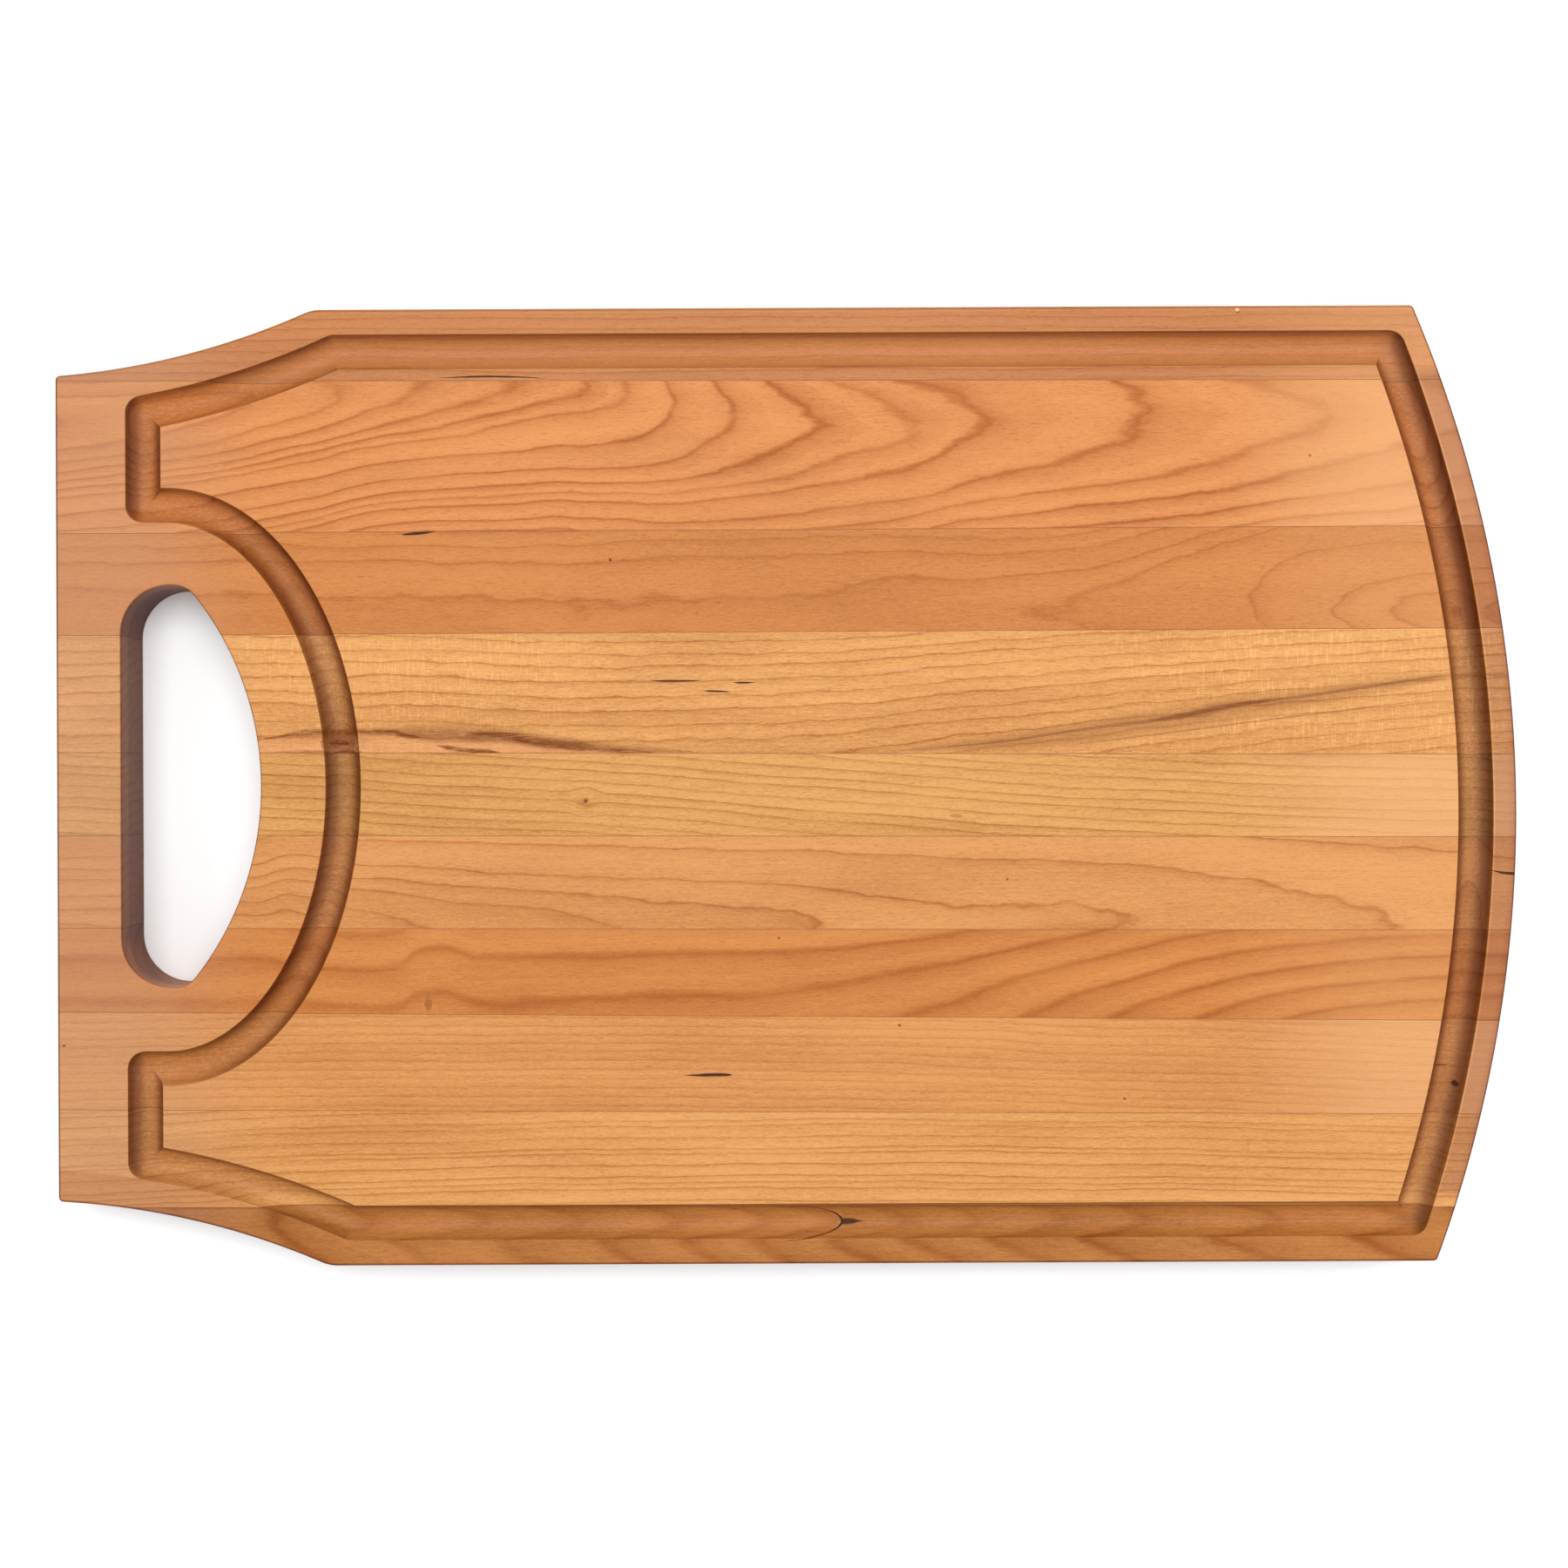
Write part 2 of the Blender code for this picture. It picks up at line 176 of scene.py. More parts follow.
def board_outline():
    """The board from above, anticlockwise from its lower handle-end corner."""
    upper, _, lower, _ = scoops()
    half = WIDTH / 2
    lower_corner = Vector((curved_end_x(-half, LENGTH / 2, CURVED_END_RADIUS), -half))
    upper_corner = Vector((curved_end_x(half, LENGTH / 2, CURVED_END_RADIUS), half))
    centre = Vector((LENGTH / 2 - CURVED_END_RADIUS, CURVED_END_CENTRE_Y))
    first = math.atan2(lower_corner.y - centre.y, lower_corner.x - centre.x)
    last = math.atan2(upper_corner.y - centre.y, upper_corner.x - centre.x)
    end = arc(centre, CURVED_END_RADIUS, first, last)

    corners = [
        (upper[0], lower[0], lower[1], CORNER_ROUNDING, lower),
        (lower[-2], lower[-1], lower_corner, SHOULDER_ROUNDING, []),
        (lower[-1], lower_corner, end[1], CORNER_ROUNDING, end),
        (end[-2], upper_corner, upper[-1], CORNER_ROUNDING, []),
        (upper_corner, upper[-1], upper[-2], SHOULDER_ROUNDING, upper[::-1]),
        (upper[1], upper[0], lower[0], CORNER_ROUNDING, []),
    ]
    turns = [rounded(before, corner, after, radius) for before, corner, after, radius, _ in corners]
    points = []
    for i, (_, corner, _, _, curve) in enumerate(corners):
        following = (i + 1) % len(corners)
        points += turns[i][0]
        kept = clear_of(curve, corner, turns[i][1] + CURVE_STEP / 2)
        points += clear_of(kept, corners[following][1], turns[following][1] + CURVE_STEP / 2)
    return points


def handle_outline(grow=0.0):
    """The handle opening from above, anticlockwise, or the same shape grown outwards."""
    corner_radius = HANDLE_CORNER_RADIUS + grow
    blend_radius = HANDLE_BLEND_RADIUS + grow
    bow_radius = HANDLE_BOW_RADIUS + grow
    half = HANDLE_LENGTH / 2 + grow
    corner_x = HANDLE_STRAIGHT_X - grow + corner_radius
    bow_centre = Vector((HANDLE_BOW_X + grow - bow_radius, HANDLE_CENTRE_Y))
    blend_y = half - blend_radius
    blend_x = bow_centre.x + math.sqrt((bow_radius - blend_radius) ** 2 - blend_y**2)
    bow_angle = math.atan2(blend_y, blend_x - bow_centre.x)
    corner_steps = 2 * CORNER_STEPS
    bow_steps = steps_for(2 * bow_angle * HANDLE_BOW_RADIUS)

    points = []
    centre = Vector((corner_x, HANDLE_CENTRE_Y - half + corner_radius))
    points += arc(centre, corner_radius, -2 * QUARTER, -QUARTER, corner_steps)
    centre = Vector((blend_x, HANDLE_CENTRE_Y - blend_y))
    points += arc(centre, blend_radius, -QUARTER, -bow_angle, CORNER_STEPS)
    points += arc(bow_centre, bow_radius, -bow_angle, bow_angle, bow_steps)[1:-1]
    centre = Vector((blend_x, HANDLE_CENTRE_Y + blend_y))
    points += arc(centre, blend_radius, bow_angle, QUARTER, CORNER_STEPS)
    centre = Vector((corner_x, HANDLE_CENTRE_Y + half - corner_radius))
    points += arc(centre, corner_radius, QUARTER, 2 * QUARTER, corner_steps)
    return points


# ---------------------------------------------------------------- juice groove


def groove_runs():
    """The groove's centre line, clockwise, as smooth runs that meet each other at sharp corners."""
    _, upper_centre, _, lower_centre = scoops()
    edge_y = WIDTH / 2 - GROOVE_INSET_EDGES
    scoop_radius = SCOOP_RADIUS + GROOVE_INSET_SCOOPS

    def scoop_run(centre, side):
        """One hollow stretch, from the handle end out to the long stretch on the same side."""
        start_x = GROOVE_HANDLE_END_X - centre.x
        start = math.atan2(-side * math.sqrt(scoop_radius**2 - start_x**2), start_x)
        end_y = side * edge_y - centre.y
        end = math.atan2(end_y, math.sqrt(scoop_radius**2 - end_y**2))
        return arc(centre, scoop_radius, start, end)

    upper_scoop = scoop_run(upper_centre, 1)
    lower_scoop = scoop_run(lower_centre, -1)

    end_centre = Vector((GROOVE_CURVED_END_X - GROOVE_CURVED_END_RADIUS, CURVED_END_CENTRE_Y))
    first = math.asin((edge_y - end_centre.y) / GROOVE_CURVED_END_RADIUS)
    last = math.asin((-edge_y - end_centre.y) / GROOVE_CURVED_END_RADIUS)
    curved_end = arc(end_centre, GROOVE_CURVED_END_RADIUS, first, last)

    arch = [Vector((GROOVE_HANDLE_END_X, ARCH_CENTRE_Y - ARCH_HALF_SPAN))]
    arch_steps = steps_for(math.pi * (ARCH_HALF_SPAN + ARCH_REACH) / 2)
    for step in range(arch_steps + 1):
        angle = -QUARTER + math.pi * step / arch_steps
        x = ARCH_CENTRE_X + ARCH_REACH * math.cos(angle)
        y = ARCH_CENTRE_Y + ARCH_HALF_SPAN * math.sin(angle)
        arch.append(Vector((x, y)))
    arch.append(Vector((GROOVE_HANDLE_END_X, ARCH_CENTRE_Y + ARCH_HALF_SPAN)))

    return [
        upper_scoop,
        [upper_scoop[-1], curved_end[0]],
        curved_end,
        [curved_end[-1], lower_scoop[-1]],
        lower_scoop[::-1],
        [lower_scoop[0], arch[0]],
        arch,
        [arch[-1], upper_scoop[0]],
    ]


def left_of(direction):
    return Vector((-direction.y, direction.x)).normalized()


def groove_stations(half_width):
    """The groove's centre line as (point, way to its left lip, way to its right lip).

    A corner is mitred on the inside of the turn and fanned round the cutter on the outside. Points
    whose cross-section would run past a mitre are left out.
    """
    runs = groove_runs()
    stations = []
    corners = []
    for run, following in zip(runs, runs[1:] + runs[:1]):
        left_in = left_of(run[-1] - run[-2])
        left_out = left_of(following[1] - following[0])
        turn = left_out.angle_signed(left_in)
        corners.append((run[-1], left_in, left_out, turn))
    for i, run in enumerate(runs):
        inner = run
        for place, _, _, turn in (corners[i - 1], corners[i]):
            inner = clear_of(inner, place, half_width * math.tan(abs(turn) / 2) + CURVE_STEP / 4)
        for point in inner:
            at = run.index(point)
            left = left_of(run[min(at + 1, len(run) - 1)] - run[max(at - 1, 0)])
            stations.append((point, left, left))
        corner, left_in, left_out, turn = corners[i]
        mitre = (left_in + left_out).normalized() / math.cos(turn / 2)
        start = math.atan2(left_in.y, left_in.x)
        for step in range(CORNER_STEPS + 1):
            angle = start + turn * step / CORNER_STEPS
            fan = Vector((math.cos(angle), math.sin(angle)))
            stations.append((corner, mitre, fan) if turn > 0 else (corner, fan, mitre))
    return stations


def groove_profile():
    """Half-round section with eased lips, as (distance to the left, height), lip to lip."""
    centre_height = THICKNESS - GROOVE_DEPTH + GROOVE_CUTTER_RADIUS
    easing_height = THICKNESS - GROOVE_LIP_ROUNDING
    reach = GROOVE_CUTTER_RADIUS + GROOVE_LIP_ROUNDING
    drop = centre_height - easing_height
    easing_centre = math.sqrt(reach**2 - drop**2)
    lip_angle = math.acos(drop / reach)

    side = []
    for step in range(LIP_STEPS):
        angle = QUARTER + lip_angle * step / LIP_STEPS
        x = easing_centre + GROOVE_LIP_ROUNDING * math.cos(angle)
        side.append((x, easing_height + GROOVE_LIP_ROUNDING * math.sin(angle)))
    bottom = []
    for step in range(GROOVE_STEPS + 1):
        angle = lip_angle * (1 - 2 * step / GROOVE_STEPS)
        x = GROOVE_CUTTER_RADIUS * math.sin(angle)
        bottom.append((x, centre_height - GROOVE_CUTTER_RADIUS * math.cos(angle)))
    other_side = [(-x, height) for x, height in reversed(side)]
    return side + bottom + other_side


# ---------------------------------------------------------------- the board's skin


class Skin:
    """Faces over shared corner points."""

    def __init__(self):
        self.bm = bmesh.new()
        self.rim = self.bm.verts.layers.float.new("rim")
        self.corners = {}

    def corner(self, point):
        key = tuple(round(value, 7) for value in point)
        if key not in self.corners:
            self.corners[key] = self.bm.verts.new(point)
        return self.corners[key]

    def face(self, points):
        corners = list(dict.fromkeys(self.corner(point) for point in points))
        if len(corners) > 2 and not self.bm.faces.get(corners):
            self.bm.faces.new(corners)

    def strip(self, rows, closed_rows, closed_across):
        """Quads between neighbouring rows of points."""
        pairs = zip(rows, rows[1:] + rows[:1]) if closed_rows else zip(rows, rows[1:])
        for row, following in pairs:
            count = len(row) if closed_across else len(row) - 1
            for i in range(count):
                j = (i + 1) % len(row)
                self.face((row[i], row[j], following[j], following[i]))

    def fill(self, loops):
        """A flat face between loops of points, the first one outside and the others holes in it."""
        edges = set()
        for loop in loops:
            corners = [self.corner(point) for point in loop]
            for here, there in zip(corners, corners[1:] + corners[:1]):
                if here is not there:
                    edges.add(self.bm.edges.get((here, there)) or self.bm.edges.new((here, there)))
        bmesh.ops.triangle_fill(self.bm, use_beauty=True, use_dissolve=False, edges=list(edges))


def inset(points, distance):
    """A closed anticlockwise outline moved inwards."""
    moved = []
    for before, point, after in zip(points[-1:] + points[:-1], points, points[1:] + points[:1]):
        first = left_of(point - before)
        second = left_of(after - point)
        middle = (first + second).normalized()
        moved.append(point + middle * distance / middle.dot(first))
    return moved


def eased_wall(radius):
    """A wall from the underside to the top face with rounded edges, as (how far set back, height)."""
    levels = []
    for step in range(EDGE_STEPS + 1):
        angle = QUARTER * step / EDGE_STEPS
        levels.append((radius * (1 - math.sin(angle)), radius * (1 - math.cos(angle))))
    upper = [(back, THICKNESS - height) for back, height in reversed(levels)]
    return levels + upper


def at_height(points, height):
    return [(point.x, point.y, height) for point in points]


def board_skin():
    """The whole board as one closed mesh."""
    skin = Skin()
    outline = board_outline()
    outside = [at_height(inset(outline, back), z) for back, z in eased_wall(RIM_ROUNDING)]
    opening = [at_height(handle_outline(back), z) for back, z in eased_wall(HANDLE_EASING)]
    skin.strip(outside, False, True)
    skin.strip(opening, False, True)

    profile = groove_profile()
    groove = []
    for point, left, right in groove_stations(profile[0][0]):
        row = []
        for distance, height in profile:
            place = point + (left if distance > 0 else right) * distance
            row.append((place.x, place.y, height))
        groove.append(row)
    skin.strip(groove, True, False)

    outer_lip = [row[0] for row in groove]
    inner_lip = [row[-1] for row in groove]
    skin.fill([outside[-1], outer_lip, opening[-1]])
    skin.fill([inner_lip])
    skin.fill([outside[0], opening[0]])
    bmesh.ops.recalc_face_normals(skin.bm, faces=skin.bm.faces)
    for row in outside[1:-1]:
        for point in row:
            skin.corner(point)[skin.rim] = 1.0
    return skin.bm


# ---------------------------------------------------------------- slicing into staves


def seam_line(nodes):
    """The line along the middle of a CAD glue film, as (y at x = 0, slope)."""
    places = np.array([vert.co[:2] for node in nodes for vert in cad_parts[node].data.vertices])
    slope, middle = np.polyfit(places[:, 0], places[:, 1], 1)
    return middle, slope


def keep_side(bm, seam, shift, side):
    """Cuts along a glue line, shifted across it, and keeps what lies on one side, closed again."""
    middle, slope = seam
    normal = Vector((-slope, 1.0, 0.0)).normalized()
    cut = bmesh.ops.bisect_plane(
        bm,
        geom=bm.verts[:] + bm.edges[:] + bm.faces[:],
        dist=1e-8,
        plane_co=Vector((0.0, middle, 0.0)) + normal * shift,
        plane_no=normal * side,
        clear_inner=True,
    )
    rim = [item for item in cut["geom_cut"] if isinstance(item, bmesh.types.BMEdge)]
    caps = bmesh.ops.edgeloop_fill(bm, edges=rim)["faces"]
    bmesh.ops.triangulate(bm, faces=caps)


def keep_length(bm, side):
    """Keeps the part of a stave on one side of the handle opening's middle."""
    gone = [vert for vert in bm.verts if (vert.co.x - HANDLE_MIDDLE_X) * side < 0]
    bmesh.ops.delete(bm, geom=gone, context="VERTS")


def add_piece(name, node, bm, material):
    """A finished piece that stands for a CAD node."""
    bmesh.ops.recalc_face_normals(bm, faces=bm.faces)
    mesh = bpy.data.meshes.new(name)
    bm.to_mesh(mesh)
    bm.free()
    mesh.shade_smooth()
    mesh.set_sharp_from_angle(angle=SHARP_ANGLE)
    mesh.materials.append(material)
    piece = bpy.data.objects.new(name, mesh)
    bpy.context.scene.collection.objects.link(piece)
    normals = piece.modifiers.new("flat_faces_stay_flat", "WEIGHTED_NORMAL")
    normals.keep_sharp = True
    normals.weight = 100
    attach(piece, "root")
    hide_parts(node)
    return piece


def slice_board(woods, glue):
    """Every stave and glue film, sliced from the board along the CAD's glue lines."""
    board = board_skin()
    names = sorted(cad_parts)
    films = []
    for number in range(1, len(woods)):
        prefix = f"glue_line_{number:02d}_{number + 1:02d}"
        films.append([name for name in names if name.startswith(prefix)])
    seams = [seam_line(nodes) for nodes in films]

    for number, wood in enumerate(woods, start=1):
        nodes = [name for name in names if name.startswith(f"stave_{number:02d}")]
        for node in nodes:
            piece = board.copy()
            if number > 1:
                keep_side(piece, seams[number - 2], -SEAM_GAP / 2, -1)
            if number < len(woods):
                keep_side(piece, seams[number - 1], SEAM_GAP / 2, 1)
            if len(nodes) == 2:
                keep_length(piece, -1 if node.endswith("grip") else 1)
            add_piece(f"{node}_wood", node, piece, wood)

    for seam, nodes in zip(seams, films):
        for node in nodes:
            piece = board.copy()
            keep_side(piece, seam, GLUE_FILM / 2, -1)
            keep_side(piece, seam, -GLUE_FILM / 2, 1)
            if len(nodes) == 2:
                keep_length(piece, -1 if node.endswith("grip") else 1)
            add_piece(f"{node}_film", node, piece, glue)
    board.free()


# ---------------------------------------------------------------- node building


class Net:
    """Builds a material's node tree with short calls. Sockets and plain numbers can be mixed."""

    def __init__(self, name):
        self.material = bpy.data.materials.new(name)
        self.material.use_nodes = True
        self.tree = self.material.node_tree
        self.shader = self.tree.nodes["Principled BSDF"]

    def node(self, kind, **settings):
        made = self.tree.nodes.new(kind)
        for key, value in settings.items():
            setattr(made, key, value)
        return made

    def put(self, socket, value):
        if isinstance(value, bpy.types.NodeSocket):
            self.tree.links.new(value, socket)
        else:
            socket.default_value = value

    def math(self, operation, *values, clamp=False):
        made = self.node("ShaderNodeMath", operation=operation, use_clamp=clamp)
        for socket, value in zip(made.inputs, values):
            self.put(socket, value)
        return made.outputs[0]

    def total(self, *terms):
        result = terms[0]
        for term in terms[1:]:
            result = self.math("ADD", result, term)
        return result

    def length(self, a, b):
        squares = self.math("MULTIPLY", a, a)
        return self.math("SQRT", self.math("MULTIPLY_ADD", b, b, squares))

    def vector(self, x, y, z):
        made = self.node("ShaderNodeCombineXYZ")
        for socket, value in zip(made.inputs, (x, y, z)):
            self.put(socket, value)
        return made.outputs[0]

    def spread(self, value, low, high, to_low=0.0, to_high=1.0, smooth=True):
        """value taken from low..high to to_low..to_high, and held at the ends."""
        made = self.node("ShaderNodeMapRange", interpolation_type="SMOOTHSTEP" if smooth else "LINEAR")
        for socket, number in zip(made.inputs, (value, low, high, to_low, to_high)):
            self.put(socket, number)
        return made.outputs[0]

    def noise(self, place, detail=2.0, roughness=0.5):
        """Noise round 0, about -0.5 to 0.5."""
        made = self.node("ShaderNodeTexNoise")
        self.put(made.inputs["Vector"], place)
        made.inputs["Scale"].default_value = 1.0
        made.inputs["Detail"].default_value = detail
        made.inputs["Roughness"].default_value = roughness
        return self.math("SUBTRACT", made.outputs["Fac"], 0.5)

    def chance(self, number, seed):
        """A random value, 0 to 1, for each whole number."""
        made = self.node("ShaderNodeTexWhiteNoise", noise_dimensions="2D")
        self.put(made.inputs["Vector"], self.vector(number, seed, 0.0))
        return made.outputs["Value"]

    def curve(self, value, points, handles="AUTO_CLAMPED"):
        """A smooth curve through given (in, out) points, held beyond its ends."""
        firsts = [point[0] for point in points]
        seconds = [point[1] for point in points]
        low, high = min(firsts), max(firsts)
        bottom = min(seconds)
        height = max(max(seconds) - bottom, 1e-6)
        made = self.node("ShaderNodeFloatCurve")
        line = made.mapping.curves[0]
        while len(line.points) < len(points):
            line.points.new(0.5, 0.5)
        for at, (first, second) in zip(line.points, points):
            at.location = ((first - low) / (high - low), (second - bottom) / height)
            at.handle_type = handles
        made.mapping.extend = "HORIZONTAL"
        made.mapping.update()
        self.put(made.inputs["Value"], self.spread(value, low, high, smooth=False))
        return self.math("MULTIPLY_ADD", made.outputs[0], height, bottom)

    def ramp(self, value, stops):
        made = self.node("ShaderNodeValToRGB")
        elements = made.color_ramp.elements
        while len(elements) < len(stops):
            elements.new(0.5)
        for element, (position, level) in zip(elements, stops):
            element.position = position
            element.color = (level, level, level, 1.0)
        self.put(made.inputs[0], value)
        return made.outputs[0]

    def mix(self, factor, a, b, blend="MIX"):
        made = self.node("ShaderNodeMix", data_type="RGBA", blend_type=blend)
        self.put(made.inputs[0], factor)
        self.put(made.inputs[6], a)
        self.put(made.inputs[7], b)
        return made.outputs[2]

    def tinted(self, amount, colour, tint):
        """colour with the tint worked in by amount."""
        return self.mix(amount, colour, self.mix(1.0, colour, (*tint, 1.0), "MULTIPLY"))

    def place(self):
        """Where on the board, in mm along, across and up."""
        scaled = self.node("ShaderNodeVectorMath", operation="SCALE")
        self.put(scaled.inputs[0], self.node("ShaderNodeTexCoord").outputs["Object"])
        scaled.inputs["Scale"].default_value = MM
        split = self.node("ShaderNodeSeparateXYZ")
        self.put(split.inputs[0], scaled.outputs[0])
        return split.outputs


# ---------------------------------------------------------------- cherry


def evenly(first, last, count):
    return [first + (last - first) * i / (count - 1) for i in range(count)]


def linear(colour):
    """A colour given as sRGB 0 to 255, made linear."""
    values = [value / 255 for value in colour]
    return (*((v / 12.92 if v <= 0.04045 else ((v + 0.055) / 1.055) ** 2.4) for v in values), 1.0)


RING_TINT = (0.64, 0.47, 0.34)
PORE_TINT = (0.62, 0.50, 0.42)
# Painted shade for steep faces turned away from +Y, the side the overhead light comes from
SLOPE_SHADE_TINT = (0.58, 0.46, 0.38)
END_GRAIN_TINT = (0.48, 0.38, 0.32)
CROSS_CUT_TINT = (0.74, 0.66, 0.62)
# Painted shade on the rounded rim, over the oiled edge's own darker colour
RIM_SHADE_TINT = (0.60, 0.46, 0.38)
# Pales the curl figure, and paints highlights in the groove
FIGURE_AND_HIGHLIGHT_TINT = (1.18, 1.26, 1.36)
OPENING_TINT = (0.66, 0.53, 0.45)
# Painted shade for the top face beyond the groove's curved run, deepest at the brink
MARGIN_SHADE_TINT = (0.70, 0.63, 0.70)
BRINK_SHADE_TINT = (0.84, 0.78, 0.76)
HOLLOW_TINT = (0.86, 0.78, 0.74)
# Painted shade with a pale sheen over it, for the handle end
HANDLE_END_SHADE_AND_SHEEN = linear((178, 134, 106))
PALE = linear((215, 160, 108))
HANDLE_END_SHADE_AND_SHEEN_AMOUNT = 0.4
BUMP_STRENGTH = 0.5
BUMP_HEIGHT = 0.0001
GLUE_DARK = linear((124, 72, 42))
GLUE_LIGHT = linear((166, 103, 60))
KNOT_HEART = linear((100, 46, 20))
KNOT_HALO = linear((170, 96, 52))

# What a mark is made of: its colour and how ragged its edges are, in mm
GUM = (linear((54, 32, 26)), 0.22)
DARK_RING = (linear((106, 52, 24)), 0.12)
# A small dent's lit side, a painted highlight
DENT_HIGHLIGHT = (linear((246, 206, 176)), 0.12)
MINERAL = (linear((108, 50, 8)), 1.6)
RED_STAIN = (linear((212, 144, 106)), 2.6)
MARK_DEPTHS = (-10.0, -6.0)  # marks fade out between these heights below the top face

# A long gum pocket that the glue line between staves 2 and 3 runs through, so both of them show it
POCKET_ON_GLUE_LINE = [
    (-113.7, 74.75, 0.0), (-112.5, 74.8, 0.25), (-110, 74.95, 0.42), (-107.5, 75.25, 0.5),
    (-105, 75.5, 0.3), (-102.8, 75.65, 0.0),
]

# How dark a ring line is across its width, from LINE_REACH mm inside it to as far outside, at softness 1
LINE_REACH = 2.5
LINE_PROFILE = [
    (0.0, 0.0), (0.14, 0.03), (0.28, 0.1), (0.4, 0.25), (0.465, 0.5), (0.5, 1.0), (0.52, 0.8),
    (0.55, 0.15), (0.62, 0.02), (1.0, 0.0),
]
LINE_STRENGTH = 1.75
WANDER = 2.4  # how far long waves push the ring lines, in mm
KNOT_SWELL = 0.8  # how strongly the rings bulge round a knot

# Where the tints and painted shade of the worked faces begin and where they are full, in mm
TOP_SKIN = (-1.2, -0.2)  # below the top face
ROUTED_DEPTH = (-0.3, -1.6)  # below the top face
OPENING_DEPTH = (-4.5, -7.0)  # below the top face, deeper than the groove reaches
CROSS_CUT_SIDE = (124.0, 117.0)  # from the board's middle line, short of the long runs of the groove
MARGIN_SHADE_SIDE = (124.5, 119.0)  # from the board's middle line
MARGIN_SHADE_START = (384.1, 384.9)  # from the centre of the groove's curved run, just outside its lip
BRINK_SHADE_START = (388.0, 391.0)  # from the same centre, close to the board's end
HOLLOW_START = (235.9, 234.9)  # from the centre of the lower hollow curve, just outside the lip
HOLLOW_SIDE = (-125.0, -124.2)  # across the board, clear of stave 10
HOLLOW_END = (-125.0, -150.0)  # along the board


